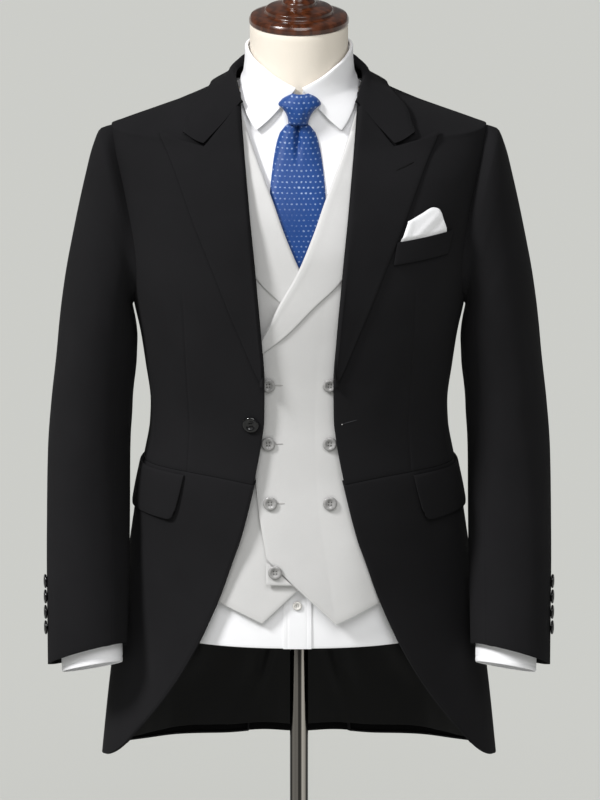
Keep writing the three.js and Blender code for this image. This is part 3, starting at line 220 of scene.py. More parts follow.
def tangents(steps):
    """Slopes at the knots that never overshoot: harmonic means, and the end steps at the ends."""
    before, after = steps[:-1], steps[1:]
    with np.errstate(divide="ignore", invalid="ignore"):
        inner = np.where(before * after > 0, 2 * before * after / (before + after), 0)
    return np.concatenate([steps[:1], inner, steps[-1:]])


def curve(rows, column=1):
    """A smooth function through the rows' first number and one other column."""
    table = np.array(sorted(rows), float)
    xs, ys = table[:, 0], table[:, column]
    slopes = tangents(np.diff(ys) / np.diff(xs))

    def value(x):
        x = np.clip(np.asarray(x, float), xs[0], xs[-1])
        i = np.clip(np.searchsorted(xs, x, side="right") - 1, 0, len(xs) - 2)
        span = xs[i + 1] - xs[i]
        t = (x - xs[i]) / span
        return hermite(ys[i], slopes[i] * span, ys[i + 1], slopes[i + 1] * span, t)

    return value


def through(rows, at):
    """Points on smooth curves through rows of points, each at its own share of the rows."""
    slopes = tangents(np.diff(rows, axis=0))
    i = np.clip(at.astype(int), 0, len(rows) - 2)
    n = np.arange(len(at))
    t = (at - i)[:, None]
    return hermite(rows[i, n], slopes[i, n], rows[i + 1, n], slopes[i + 1, n], t)


def shoulder_fall(x, y, z):
    """How far the shoulders sink behind their ridge."""
    behind = np.maximum(y - 9, 0)
    near = smooth((np.abs(x) - 70) / 110) * smooth((z - 1340) / 90)
    return 0.31 * behind**2 / (behind + 12) * near


class Body:
    """The smooth surface of a body through its level sections."""

    def __init__(self, sections, fall=1.0, ripple=None):
        self.half, self.front, self.back, self.mid, self.square = (
            curve(sections, column) for column in range(1, 6)
        )
        self.fall, self.ripple = fall, ripple

    def point(self, turn, z):
        turn, z = np.broadcast_arrays(np.asarray(turn, float), np.asarray(z, float))
        s, c = np.sin(np.radians(turn)), np.cos(np.radians(turn))
        n = self.square(z)
        depth = np.where(c > 0, self.front(z), self.back(z))
        reach = (np.abs(s / self.half(z)) ** n + np.abs(c / depth) ** n) ** (-1 / n)
        if self.ripple:
            reach = reach + self.ripple(turn, z)
        x, y = reach * s, self.mid(z) * s * s - reach * c
        return np.stack([x, y, z - self.fall * shoulder_fall(x, y, z)], -1)

    def normal(self, turn, z):
        sideways = self.point(turn + 1, z) - self.point(turn - 1, z)
        rise = self.point(turn, z + 1) - self.point(turn, z - 1)
        n = np.cross(sideways, rise)
        return n / np.linalg.norm(n, axis=-1, keepdims=True)

    def out(self, turn, z, distance=0.0):
        """The point a distance outside the surface."""
        lift = np.asarray(distance, float)[..., None]
        return self.point(turn, z) + self.normal(turn, z) * lift

    def at(self, x, z, distance=0.0):
        """The point in front a distance outside the surface, by its x and height."""
        return self.out(self.turn_at(x, z), z, distance)

    def turn_at(self, x, z):
        n = self.square(z)
        share = np.minimum(np.abs(x) / self.half(z), 1)
        depth = self.front(z) * (1 - share**n) ** (1 / n)
        return np.sign(x) * np.degrees(np.arctan2(np.abs(x), depth))

    def side_turn(self, y, z):
        n = self.square(z)
        depth = np.where(y < self.mid(z), self.front(z), self.back(z))
        share = np.minimum(np.abs(y - self.mid(z)) / depth, 1)
        x = self.half(z) * (1 - share**n) ** (1 / n)
        return np.degrees(np.arctan2(x, self.mid(z) - y))


def tail_folds(turn, z):
    away = smooth((np.abs(turn) - 84) / 30) * smooth((985 - z) / 330)
    return 3.4 * away * np.sin(np.radians(np.abs(turn) * 11.5))


coat, figure = Body(COAT_SECTIONS, 1, tail_folds), Body(FORM_SECTIONS, 1.12)
front_edge, back_seam = curve(FRONT_EDGE), curve(BACK_SEAM)


def coat_edge(z):
    return coat.turn_at(front_edge(z), z)


def armhole_y(z, side):
    c = np.clip((z - ARMHOLE["middle"]) / ARMHOLE["reach"], -1, 1)
    s = np.sqrt(1 - c * c)
    depth = ARMHOLE["depth"] * s * (1 - ARMHOLE["egg"] * c)
    return ARMHOLE["y"] + ARMHOLE["lean"] * c + side * depth


def armhole_floor(y):
    z = np.linspace(ARMHOLE["middle"] - ARMHOLE["reach"], ARMHOLE["middle"], 120)
    before, behind = armhole_y(z, -1), armhole_y(z, 1)
    return np.where(y < before[0], np.interp(-y, -before, z), np.interp(y, behind, z))


def armhole_turn(z, side):
    return coat.side_turn(armhole_y(z, side), z)


SIDE_SEAM = float(armhole_turn(SEAM_TOP, -1))


def at_waist(turn, z):
    """Heights near the waist seam, which rises a little between the front edge and the side."""
    near = smooth(1 - np.abs(z - WAIST) / 90)
    return z + 9 * np.sin(np.pi * unit((turn - 22) / 66)) * near


def creases(a, b, marks, stretch=1):
    """Soft uneven troughs and ridges along lines (from a, b, to a, b, width, depth), where one of
    a is stretch millimetres."""
    total, a = np.zeros(np.broadcast(a, b).shape), a * stretch
    for n, (a0, b0, a1, b1, width, depth) in enumerate(marks):
        a0, da, db = a0 * stretch, (a1 - a0) * stretch, b1 - b0
        share = unit(((a - a0) * da + (b - b0) * db) / (da * da + db * db))
        bow = width * 0.5 * np.sin(share * 5 + n)
        off = np.hypot(a - a0 - share * da + bow, b - b0 - share * db)
        taper = smooth(share * 3 + 0.15) * smooth((1 - share) * 3 + 0.15)
        total = total + depth * bell(off, width) * taper
    return total * bpy.context.scene.suit_sizes.folds


def tucked(share, width):
    """How far the cloth drops behind its neighbour where it runs on past its seam."""
    past = np.maximum(np.maximum(-share, share - 1), 0) * width
    return (COAT + 1.1) * smooth(past / 0.8)


def seam_dip(share, width, marks=(0, 1), depth=1.0):
    """How deep the cloth sinks at its seams, with the share across and the width in millimetres."""
    sunk = sum(bell((share - mark) * width, 1.3) for mark in marks)
    return depth * sunk * bpy.context.scene.suit_sizes.seams


# ---------------------------------------------------------------- grids into pieces
SEAM_STEPS = (-4, -2, -0.8, 0, 0.8, 2, 4)


def stations(count, width, marks=(0, 1), under=(0, 0)):
    """Shares from 0 to 1, even but for closer ones round the marks, and past the ends where the
    cloth runs on under its neighbour by that many millimetres."""
    fine = {float(unit(mark + step / width)) for mark in marks for step in SEAM_STEPS}
    for end, way, reach in zip((0, 1), (-1, 1), under):
        if reach:
            fine |= {end + way * past / width for past in (reach, 0.8)}
    even = np.linspace(0, 1, count + 1)
    free = {e for e in even if min(abs(e - f) for f in fine) > 2.5 / width}
    return np.array(sorted(fine | free))


def rolled(share, count, flat):
    """Shares of cloth that turns over in its first part, with the stations of its flat part."""
    return np.concatenate([np.linspace(0, share, count), flat[1:] * (1 - share) + share])


def level_shares(body, low, high, step, turn=90):
    """Shares of a height range that are evenly spaced along the body's side."""
    return even_shares(body.point(turn, np.linspace(low, high, 500)), step)


def even_shares(points, step):
    """Shares of the way along a line of points, a step apart."""
    gone = np.linalg.norm(np.diff(points, axis=0), axis=-1).cumsum()
    gone = np.concatenate([[0], gone])
    even = np.linspace(0, gone[-1], round(gone[-1] / step) + 1)
    return np.interp(even, gone, np.linspace(0, 1, len(gone)))


def bend(us, vs, place):
    """A flat grid bent by place(u, v), and the width, length and area that it was cut to."""
    across, along = len(us) - 1, len(vs) - 1
    spots = MM * place(*np.meshgrid(us, vs))
    rows = np.linalg.norm(np.diff(spots, axis=1), axis=-1)
    lines = np.linalg.norm(np.diff(spots, axis=0), axis=-1)
    u_map = np.pad(rows.cumsum(1), ((0, 0), (1, 0)))
    u_map = u_map - u_map[:, across // 2, None]
    v_map = np.pad(lines.cumsum(0), ((1, 0), (0, 0)))
    bm = bmesh.new()
    layer = bm.loops.layers.uv.new("UVMap")
    bmesh.ops.create_grid(bm, x_segments=across, y_segments=along, size=1)
    for vert in bm.verts:
        i, j = round((vert.co.x + 1) / 2 * across), round((vert.co.y + 1) / 2 * along)
        vert.co = spots[j, i]
        for loop in vert.link_loops:
            loop[layer].uv = (u_map[j, i], v_map[j, i])
    one, two = spots[1:, 1:] - spots[:-1, :-1], spots[1:, :-1] - spots[:-1, 1:]
    area = 0.5 * np.linalg.norm(np.cross(one, two), axis=-1).sum()
    return bm, (rows.sum(1).max(), lines.sum(0).max(), area)


def finish_piece(name, bm, looks, nodes=(), thick=0.0, round_edge=0.0, angle=50):
    """Makes the mesh an object with its finishes, wall and rounded edges, riding on the frame."""
    for face in bm.faces:
        face.smooth = True
    mesh = bpy.data.meshes.new(name)
    bm.to_mesh(mesh)
    bm.free()
    for look in looks:
        mesh.materials.append(LOOKS[look][0])
    piece = bpy.data.objects.new(name, mesh)
    bpy.context.scene.collection.objects.link(piece)
    if thick:
        wall = piece.modifiers.new("Wall", "SOLIDIFY")
        wall.thickness, wall.offset = thick * MM, -1
        wall.material_offset = len(looks) - 1
    if round_edge:
        rim = piece.modifiers.new("Rim", "BEVEL")
        rim.width, rim.segments, rim.limit_method = round_edge * MM, 2, "ANGLE"
        rim.angle_limit = math.radians(angle)
    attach(piece, "root")
    if nodes:
        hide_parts(*nodes)
    return piece


def cloth(
    name, node, us, vs, place, looks, thick, side=1,
    held="hung", on=("form_body",), closed=False, with_pieces=(),
):
    """A sheet of cloth in the shape of place(u, v); side -1 mirrors it to the wearer's right."""
    if side < 0:
        left, us = place, 1 - us[::-1]
        place = lambda u, v: left(1 - u, v) * MIRROR
    bm, (width, length, area) = bend(us, vs, place)
    if closed:
        bmesh.ops.remove_doubles(bm, verts=bm.verts, dist=WELD)
    piece = finish_piece(name, bm, looks, [node], thick, min(0.3 * thick, 0.6))
    return piece


def pair(name, us, vs, place, looks, thick, **settings):
    """The wearer's left piece, and its mirror image on the right."""
    for side, ending in ((1, "_left"), (-1, "_right")):
        node = NODE_OF[name] + ending
        cloth(name + ending, node, us, vs, place, looks, thick, side, **settings)


NODE_OF = {
    "forepart": "coat_forepart", "side_body": "coat_sidebody",
    "skirt": "coat_skirt", "lapel": "coat_lapel", "pocket_flap": "coat_flap",
    "top_sleeve": "coat_topsleeve", "under_sleeve": "coat_undersleeve",
    "tail_satin": "tail_lining", "shirt_arm": "shirt_sleeve", "shirt_wristband": "shirt_cuff",
}


# ---------------------------------------------------------------- finishes
LOOKS = {}


def put(tree, kind, inputs=(), **settings):
    """Adds a node, sets its settings, and sets or links its inputs."""
    node = tree.nodes.new("ShaderNode" + kind)
    for key, value in settings.items():
        setattr(node, key, value)
    for key, value in dict(inputs).items():
        fill(tree, node, key, value)
    return node


def fill(tree, node, key, value):
    """Sets an input to a value, or links a socket to it."""
    if isinstance(value, bpy.types.NodeSocket):
        tree.links.new(value, node.inputs[key])
    else:
        node.inputs[key].default_value = value


def calc(tree, operation, *values):
    return put(tree, "Math", dict(enumerate(values)), operation=operation).outputs[0]


def noise(tree, place, scale, detail=2, **more):
    inputs = {"Vector": place, "Scale": scale, "Detail": detail, **more}
    return put(tree, "TexNoise", inputs).outputs[0]


def spot_of(tree, kind="Object"):
    """Where a point of the piece lies, in one of the texture coordinates."""
    return put(tree, "TexCoord").outputs[kind]


def blend(tree, share, first, second):
    node = put(tree, "Mix", {0: share, 6: first, 7: second}, data_type="RGBA")
    return node.outputs[2]


def dark(colour, share):
    return tuple(value * share for value in colour)


def opaque(colour):
    return (*colour, 1)


def group(name, inputs, outputs, build):
    """A shader node group, built once: build(tree, inputs) gives the outputs' sockets."""
    tree = bpy.data.node_groups.get(name)
    if tree:
        return tree
    tree = bpy.data.node_groups.new(name, "ShaderNodeTree")
    for label, kind, default in inputs:
        socket = tree.interface.new_socket(label, in_out="INPUT", socket_type="NodeSocket" + kind)
        socket.default_value = default
    for label, kind in outputs:
        tree.interface.new_socket(label, in_out="OUTPUT", socket_type="NodeSocket" + kind)
    source, sink = tree.nodes.new("NodeGroupInput"), tree.nodes.new("NodeGroupOutput")
    for index, socket in enumerate(build(tree, source.outputs)):
        tree.links.new(socket, sink.inputs[index])
    return tree


def weave_group():
    """Threads of a cloth: a plain weave at Diagonal 0, a twill at 1."""

    def build(tree, ins):
        uv = put(tree, "SeparateXYZ", {0: spot_of(tree, "UV")}).outputs
        turns = calc(tree, "MULTIPLY", ins["Threads"], 2 * math.pi)
        across, along = (calc(tree, "MULTIPLY", uv[n], turns) for n in (0, 1))
        plain = calc(tree, "MULTIPLY", calc(tree, "SINE", across), calc(tree, "SINE", along))
        twill = calc(tree, "SINE", calc(tree, "ADD", across, along))
        change = calc(tree, "MULTIPLY", ins["Diagonal"], calc(tree, "SUBTRACT", twill, plain))
        return [calc(tree, "MULTIPLY_ADD", calc(tree, "ADD", plain, change), 0.5, 0.5)]

    inputs = [("Threads", "Float", 900), ("Diagonal", "Float", 1)]
    return group("Woven threads", inputs, [("Height", "Float")], build)


def mottle_group():
    """Uneven dye and light nap: a slow change, a fine one, and painted shade between the threads
    (lighter on their tops), over a base colour.
    """

    def build(tree, ins):
        place = spot_of(tree)
        slow, fine = noise(tree, place, ins["Scale"], 3), noise(tree, place, 620)
        both = calc(tree, "MULTIPLY_ADD", slow, 0.75, calc(tree, "MULTIPLY", fine, 0.25))
        spread = calc(tree, "MULTIPLY_ADD", both, 2.4, -0.7)
        # painted shade: the colour goes towards Shade in the hollows between the threads and
        # towards Colour on their tops
        thread = calc(tree, "SUBTRACT", ins["Thread"], 0.5)
        mottled = calc(tree, "MULTIPLY_ADD", thread, ins["Thread shade share"], spread)
        share = put(tree, "Clamp", {0: mottled}).outputs[0]
        return [blend(tree, share, ins["Shade"], ins["Colour"]), fine]

    inputs = [
        ("Colour", "Color", (1, 1, 1, 1)), ("Shade", "Color", (0, 0, 0, 1)),
        ("Scale", "Float", 9), ("Thread", "Float", 0.5), ("Thread shade share", "Float", 0.3),
    ]
    return group("Uneven dye and thread shade", inputs, [("Colour", "Color"), ("Nap", "Float")], build)


def new_look(name, slot, colour, rough, **sockets):
    """A material with its Principled shader, entered under a name and the record's slot."""
    material = bpy.data.materials.new(name)
    material.use_nodes = True
    shader = material.node_tree.nodes["Principled BSDF"]
    shader.inputs["Base Color"].default_value = opaque(colour)
    shader.inputs["Roughness"].default_value = rough
    for socket, value in sockets.items():
        shader.inputs[socket.replace("_", " ")].default_value = value
    LOOKS[name] = (material, slot)
    return material.node_tree, shader


def bumped(tree, shader, height, strength, distance):
    inputs = {"Height": height, "Strength": strength, "Distance": distance}
    fill(tree, shader, "Normal", put(tree, "Bump", inputs).outputs[0])


def woven(
    name, slot, colour, shade, threads, diagonal, relief, rough,
    scale=9, nap=0.4, pattern=None, **sockets,
):
    """A cloth: dye that varies between two colours, woven threads with painted shade in their
    hollows, and nap.
    """
    tree, shader = new_look(name, slot, colour, rough, **sockets)
    weave = put(tree, "Group", node_tree=weave_group())
    fill(tree, weave, "Threads", threads)
    fill(tree, weave, "Diagonal", diagonal)
    base = pattern(tree) if pattern else opaque(colour)
    dye = put(tree, "Group", node_tree=mottle_group())
    inputs = {"Colour": base, "Shade": opaque(shade), "Scale": scale, "Thread": weave.outputs[0]}
    for key, value in inputs.items():
        fill(tree, dye, key, value)
    fill(tree, shader, "Base Color", dye.outputs[0])
    height = calc(tree, "ADD", weave.outputs[0], calc(tree, "MULTIPLY", dye.outputs[1], nap))
    bumped(tree, shader, height, 0.5, relief * MM)


# rows of dots to a metre across and up, each with a second row between
DOTS_A_METRE = (178, 1, 81)


def tie_dots(tree):
    """Small light dots in staggered rows on a blue ground, with worn edges."""
    colours = bpy.context.scene.suit_colours
    spot = spot_of(tree)
    distances = []
    for shift in (0, 0.5):
        scaled = put(tree, "Mapping", {0: spot, 1: (shift, 0, shift), 3: DOTS_A_METRE}).outputs[0]
        cell = put(tree, "VectorMath", {0: scaled}, operation="FRACTION").outputs[0]
        part = put(tree, "SeparateXYZ", {0: cell}).outputs
        squares = []
        for axis, size in ((0, 4.4), (2, 12.3)):
            span = calc(tree, "MULTIPLY", calc(tree, "SUBTRACT", part[axis], 0.5), size)
            squares.append(calc(tree, "MULTIPLY", span, span))
        distances.append(calc(tree, "SQRT", calc(tree, "ADD", *squares)))
    flecks = calc(tree, "MULTIPLY_ADD", noise(tree, spot, 330), 2.4, -1.2)
    mottled = calc(tree, "ADD", calc(tree, "MINIMUM", *distances), flecks)
    dot = put(tree, "MapRange", {0: mottled, 1: 0.45, 2: 1.15, 3: 0.9, 4: 0}).outputs[0]
    return blend(tree, dot, opaque(colours.tie), opaque(colours.tie_dot))


def wood_look(name, colour):
    lacquer = {"Coat_Weight": 0.25, "Coat_Roughness": 0.06, "Coat_IOR": 1.5}
    tree, shader = new_look(name, "turned_wood", colour, 0.25, **lacquer)
    place = put(tree, "Mapping", {0: spot_of(tree), 3: (9, 26, 5)}).outputs[0]
    wave = {"Vector": place, "Scale": 2.2, "Distortion": 7, "Detail": 3, "Detail Scale": 2}
    rings, pores = put(tree, "TexWave", wave).outputs["Fac"], noise(tree, place, 55, 4)
    grain = calc(tree, "MULTIPLY_ADD", rings, 0.65, calc(tree, "MULTIPLY", pores, 0.35))
    fill(tree, shader, "Base Color", blend(tree, grain, opaque(dark(colour, 0.3)), opaque(colour)))
    fill(tree, shader, "Roughness", calc(tree, "MULTIPLY_ADD", pores, 0.12, 0.16))
    bumped(tree, shader, grain, 0.2, 0.0002)


# share across the pole, how light the painted reflection on the chrome is there
PAINTED_REFLECTION_BANDS = [
    (0, 0.015), (0.1, 0.02), (0.16, 0.22), (0.3, 0.17), (0.42, 0.2), (0.47, 0.04), (0.6, 0.05),
    (0.68, 0.6), (0.82, 0.42), (0.9, 0.025), (1, 0.015),
]


def steel_look(name):
    """Chromed tube: fine drawn streaks along it, a painted reflection of dark and pale bands up the
    pole, a plain foot.
    """
    tree, shader = new_look(name, "polished_steel", (0.72, 0.7, 0.67), 0.12, Metallic=1)
    spot = spot_of(tree)
    hairs = noise(tree, put(tree, "Mapping", {0: spot, 3: (900, 900, 14)}).outputs[0], 1)
    cloud = calc(tree, "MULTIPLY", noise(tree, spot, 14, 3), 0.06)
    drawn = calc(tree, "MULTIPLY_ADD", hairs, 0.08, 0.05)
    fill(tree, shader, "Roughness", calc(tree, "ADD", drawn, cloud))
    # painted reflection: the pole's base colour runs through dark and pale bands across it
    across = put(tree, "SeparateXYZ", {0: spot}).outputs[0]
    reflection_bands = put(tree, "ValToRGB", {0: calc(tree, "MULTIPLY_ADD", across, 1 / POLE_WIDTH, 0.5)})
    ramp = reflection_bands.color_ramp
    while len(ramp.elements) < len(PAINTED_REFLECTION_BANDS):
        ramp.elements.new(0.5)
    for element, (at, light) in zip(ramp.elements, PAINTED_REFLECTION_BANDS):
        element.position, element.color = at, (light, light * 0.93, light * 0.86, 1)
    flat = put(tree, "Mapping", {0: spot, 3: (1, 1, 0)}).outputs[0]
    radius = put(tree, "VectorMath", {0: flat}, operation="LENGTH").outputs[1]
    away = put(tree, "MapRange", {0: radius, 1: 0.012, 2: 0.02}).outputs[0]
    foot = (0.62, 0.6, 0.57, 1)
    fill(tree, shader, "Base Color", blend(tree, away, reflection_bands.outputs[0], foot))


def horn_look(name, slot, colour):
    tree, shader = new_look(name, slot, colour, 0.28)
    cloud = noise(tree, spot_of(tree), 240, 3, Distortion=1.5)
    share = put(tree, "MapRange", {0: cloud, 1: 0.35, 2: 0.65}).outputs[0]
    fill(tree, shader, "Base Color", blend(tree, share, opaque(dark(colour, 0.72)), opaque(colour)))
    fill(tree, shader, "Roughness", calc(tree, "MULTIPLY_ADD", cloud, 0.12, 0.1))


def make_finishes():
    """Every finish of the suit and its stand."""
    c = bpy.context.scene.suit_colours
    spec = "Specular_IOR_Level"
    sheen = {"Sheen_Weight": 0.01, "Sheen_Roughness": 0.6}
    # the facing is the coat's own wool, painted darker (0.3 of it) as the shade inside the coat
    facing, facing_shade, coat_shade = (dark(c.coat, share) for share in (0.3, 0.24, 0.78))
    lining_shade, vest_shade = dark(c.lining, 0.7), dark(c.waistcoat, 0.94)
    shirt_shade, tie_shade = dark(c.shirt, 0.965), dark(c.tie, 0.82)
    jersey_shade, black = dark(c.jersey, 0.95), (0.002, 0.002, 0.002)
    coat_thread, grey_thread = (0.035, 0.035, 0.037), (0.45, 0.44, 0.43)
    dark_thread = (0.004, 0.004, 0.004)
    # name, slot, colour, shade, threads a metre, diagonal, relief, roughness, others
    for *cloth_look, others in (
        ("coat_wool", "coat_wool", c.coat, coat_shade, 1150, 1, 0.22, 0.9, {**sheen, spec: 0.03}),
        ("lining_satin", "lining_satin", c.lining, lining_shade, 2600, 0.8, 0.05, 0.45,
         {"nap": 0.15, spec: 0.14}),
        ("facing_wool_painted_shade", "lining_satin", facing, facing_shade, 1150, 1, 0.2, 0.9, {spec: 0.05}),
        ("vest_wool", "waistcoat_wool", c.waistcoat, vest_shade, 1250, 0.7, 0.2, 0.85,
         {"scale": 14, spec: 0.25}),
        ("shirt_cotton", "shirt_cotton", c.shirt, shirt_shade, 2200, 0, 0.07, 0.75,
         {"nap": 0.2, spec: 0.3}),
        ("tie_silk", "tie_silk", c.tie, tie_shade, 1900, 1, 0.1, 0.42,
         {"scale": 22, "pattern": tie_dots, "Sheen_Weight": 0.03, spec: 0.3}),
        ("form_jersey", "form_jersey", c.jersey, jersey_shade, 1500, 0, 0.15, 0.85, {spec: 0.25}),
        ("coat_thread", "horn_black", coat_thread, (0.028, 0.028, 0.03), 3000, 0, 0.05, 0.8,
         {spec: 0.1}),
        ("dark_thread", "horn_black", dark_thread, black, 3000, 0, 0.05, 0.8, {spec: 0.1}),
        ("grey_thread", "waistcoat_wool", grey_thread, (0.36, 0.35, 0.35), 3000, 0, 0.05, 0.6, {}),
    ):
        woven(*cloth_look, **others)
    wood_look("turned_wood", c.wood)
    steel_look("polished_steel")
    for name, colour in (("horn_black", c.horn), ("horn_grey", c.grey_horn), ("pearl", c.pearl)):
        horn_look(name, name, colour)
    # the hole finishes are painted dark, as the shade inside a button's holes and a buttonhole's
    # slit
    new_look("hole", "horn_black", black, 0.9)
    new_look("grey_hole", "horn_grey", (0.04, 0.038, 0.036), 0.9)


# ---------------------------------------------------------------- coat
# outer face, inner face and edge
WOOL = ("coat_wool", "lining_satin")
# the facing inside is painted darker than the coat's wool, as shade
FACED = ("coat_wool", "facing_wool_painted_shade")


def seamed(left, right, u):
    """Turns across a panel that stops just short of its seams on both sides."""
    return mix(left + 0.05, right - 0.05, u)


def forepart_edge(z):
    hole = np.minimum(armhole_turn(np.maximum(z, SEAM_TOP), -1), 90)
    return np.where(z < SEAM_TOP, SIDE_SEAM, np.where(z < SHOULDER, hole, 90))


# turn, height, to turn, height, width, depth
FOREPART_FOLDS = [
    (40, 1120, 75, 1065, 16, -0.8), (64, 1210, 70, 1100, 14, -0.7), (70, 1400, 52, 1300, 18, -1.2),
    (50, 1230, 40, 1110, 22, 0.8),
]
SIDE_BODY_FOLDS = [
    (100, 1080, 130, 1110, 15, -1.0), (95, 1150, 120, 1090, 13, -0.8),
    (110, 1200, 95, 1120, 14, 0.8),
]
BACK_FOLDS = [
    (172, 1090, 150, 1060, 14, -0.9), (168, 980, 172, 780, 10, 1.0),
    (120, 1370, 150, 1300, 20, -1.2), (130, 1430, 165, 1400, 16, 0.9),
]
SKIRT_FOLDS = [
    (60, 960, 78, 760, 26, 1.3), (78, 990, 100, 700, 22, -1.5), (44, 940, 60, 800, 22, -1.0),
    (120, 940, 128, 690, 16, 1.4),
]
SATIN_FOLDS = [
    (168, 900, 150, 690, 9, 5), (150, 860, 132, 700, 10, 5.5), (140, 900, 120, 740, 10, 4),
    (172, 800, 162, 670, 7, 4),
]
dart_x = curve([(1031, 135), (1090, 131.5), (1180, 135), (1277, 140)])
DART_SHARE = 0.55


def forepart(u, v):
    z = mix(WAIST + 0.3, NECK, v)
    left, right = coat_edge(z), forepart_edge(z)
    even = mix(left, right, DART_SHARE)
    middle = mix(coat.turn_at(dart_x(z), z), even, smooth((z - 1265) / 110))
    turn = np.where(
        u < DART_SHARE,
        mix(left, middle, u / DART_SHARE),
        mix(middle, right, (u - DART_SHARE) / (1 - DART_SHARE)),
    )
    dart = bell((u - DART_SHARE) * 200, 1.6) * smooth((1279 - z) / 40) * 0.9
    low = seam_dip(v, 466, (0,), 0.6)
    folds = creases(turn, z, FOREPART_FOLDS, 3)
    sunk = seam_dip(u, 200, (0,), 0.6) + seam_dip(u, 200, (1,), 0.35)
    return coat.out(turn, at_waist(turn, z), folds - dart - low - sunk)


def side_body(u, v):
    z = mix(WAIST + 0.3, SEAM_TOP, v)
    turn = seamed(SIDE_SEAM, back_seam(z), u)
    floor = armhole_floor(coat.point(turn, z)[..., 1]) - 1
    share = smooth((z - 1150) / (SEAM_TOP - 1150))
    height = at_waist(turn, z) - np.maximum(z - floor, 0) * share
    folds = creases(turn, z, SIDE_BODY_FOLDS, 3)
    sunk = seam_dip(unit(u), 160, depth=0.35) + seam_dip(v, 224, (0,), 0.6) + tucked(u, 160)
    return coat.out(turn, height, folds - sunk)


def back_edge(z):
    hole = np.maximum(armhole_turn(np.maximum(z, SEAM_TOP), 1), 90)
    return np.where(z < SEAM_TOP, back_seam(z), np.where(z < SHOULDER, hole, 90))


def back_panel(u, v):
    z = mix(HEM - 8, NECK, v)
    turn = seamed(back_edge(z), 180, u)
    folds = creases(turn, z, BACK_FOLDS, 2.6)
    vent = 1.2 * smooth((1000 - z) / 40)
    depth = (0.7 + vent) * smooth((z - HEM + 20) / 60)
    sunk = seam_dip(unit(u), 110, depth=depth) + tucked(u, 110) * 1.2
    return coat.out(turn, z, folds - sunk)


def skirt(u, v):
    wide, high = SKIRT
    z = mix(HEM, WAIST - 0.3, v)
    share = (np.maximum(WAIST - z, 0) / (WAIST - HEM)) ** 2
    low_edge = z + 46 * share
    even = mix(coat_edge(z), back_seam(z), 0.5)
    middle = mix(even, SIDE_SEAM, smooth((z - 840) / (WAIST - 840)))
    first = mix(coat.turn_at(front_edge(low_edge), low_edge), middle, np.minimum(2 * u, 1))
    turn = np.where(u <= 0.5, first, mix(middle, back_seam(z) - 0.05, 2 * u - 1))
    corner = 39 * np.exp(-unit(u) / 0.112)
    behind = 15 * smooth((turn - 80) / 60) - 7 - 22 * smooth((u - 1) * wide / 0.8)
    height = z + (corner - behind) * share
    folds = creases(turn, height, SKIRT_FOLDS, 3.4)
    depth = 1.6 * smooth((height - HEM + 20) / 60)
    sunk = seam_dip(u, wide, (0,), 0.8) + seam_dip(np.minimum(u, 1), wide, (1,), depth)
    sunk = sunk + seam_dip(np.minimum(v, 1), high, (1,), 0.6)
    sunk = sunk + tucked(np.maximum(u, 0), wide) + tucked(v, high)
    return coat.out(turn, at_waist(turn, height), folds - sunk)


def tail_satin(u, v):
    z = mix(HEM + 4, 1000, v)
    turn = mix(178.5, 108, u)
    hang = 0.66 * np.sin(np.radians(turn * 21)) * smooth((960 - z) / 200)
    inside = COAT + LINING + 4.9
    folds = np.maximum(creases(turn, z, SATIN_FOLDS, 3), 0)
    return coat.out(turn, z, -inside - np.abs(hang) - folds)


def lapel_patch(u, v):
    """Across and height on a lapel: u from the roll to its outer edge, v from the break up."""
    (low_z, low_x), (peak_z, peak_x) = LAPEL_EDGE[0], LAPEL_EDGE[-1]
    roll_z, out_z = mix(low_z, LAPEL_NECK, v), mix(low_z, peak_z, v)
    roll = np.stack([front_edge(roll_z) + 1 + v, roll_z], -1)
    outer = np.stack([curve(LAPEL_EDGE)(out_z), out_z], -1)
    neck = np.array([front_edge(LAPEL_NECK) + 2, LAPEL_NECK])
    notch, peak = np.array([112.5, 1437.2]), np.array([peak_x, peak_z])
    start, low = np.array([front_edge(low_z) + 1, low_z]), np.array([low_x, low_z])
    us, vs = u[..., None], v[..., None]
    top = np.where(us < 0.4, mix(neck, notch, us / 0.4), mix(notch, peak, (us - 0.4) / 0.6))
    bottom = mix(start, low, us)
    corners = mix(bottom, mix(neck, peak, us), vs)
    spot = mix(roll, outer, us) + mix(bottom, top, vs) - corners
    return spot[..., 0], spot[..., 1]


ROLL_SHARE = 0.08


def lapel(u, v):
    q = unit((u - ROLL_SHARE) / (1 - ROLL_SHARE))
    angle = np.pi * unit(1 - u / ROLL_SHARE)
    x, z = lapel_patch(q, v)
    lift = 3 * (1 - q) ** 2 * np.sin(np.pi * np.clip(v, 0.02, 0.98)) ** 0.5
    top = OVERLAY + 2.6 * smooth((z - 1425) / 25) + lift + COAT
    bend_radius = (top + COAT + 0.6) / 2
    x = x + bend_radius * 0.8 * ((1 - q) ** 8 - np.sin(angle)) - 0.6 * (1 - q) ** 8
    folds = creases(x, z, [(70, 1380, 100, 1300, 20, 0.7), (60, 1290, 66, 1200, 12, -0.5)])
    rim = 0.6 * bell((1 - q) * 110, 2.2) + seam_dip(v, 300, (1,), 0.5)
    return coat.at(x, z, top - bend_radius * (1 - np.cos(angle)) + folds * (q > 0) - rim)


COLLAR_FOLD_SHARE, COLLAR_NOTCH_SHARE = 0.1, 0.6


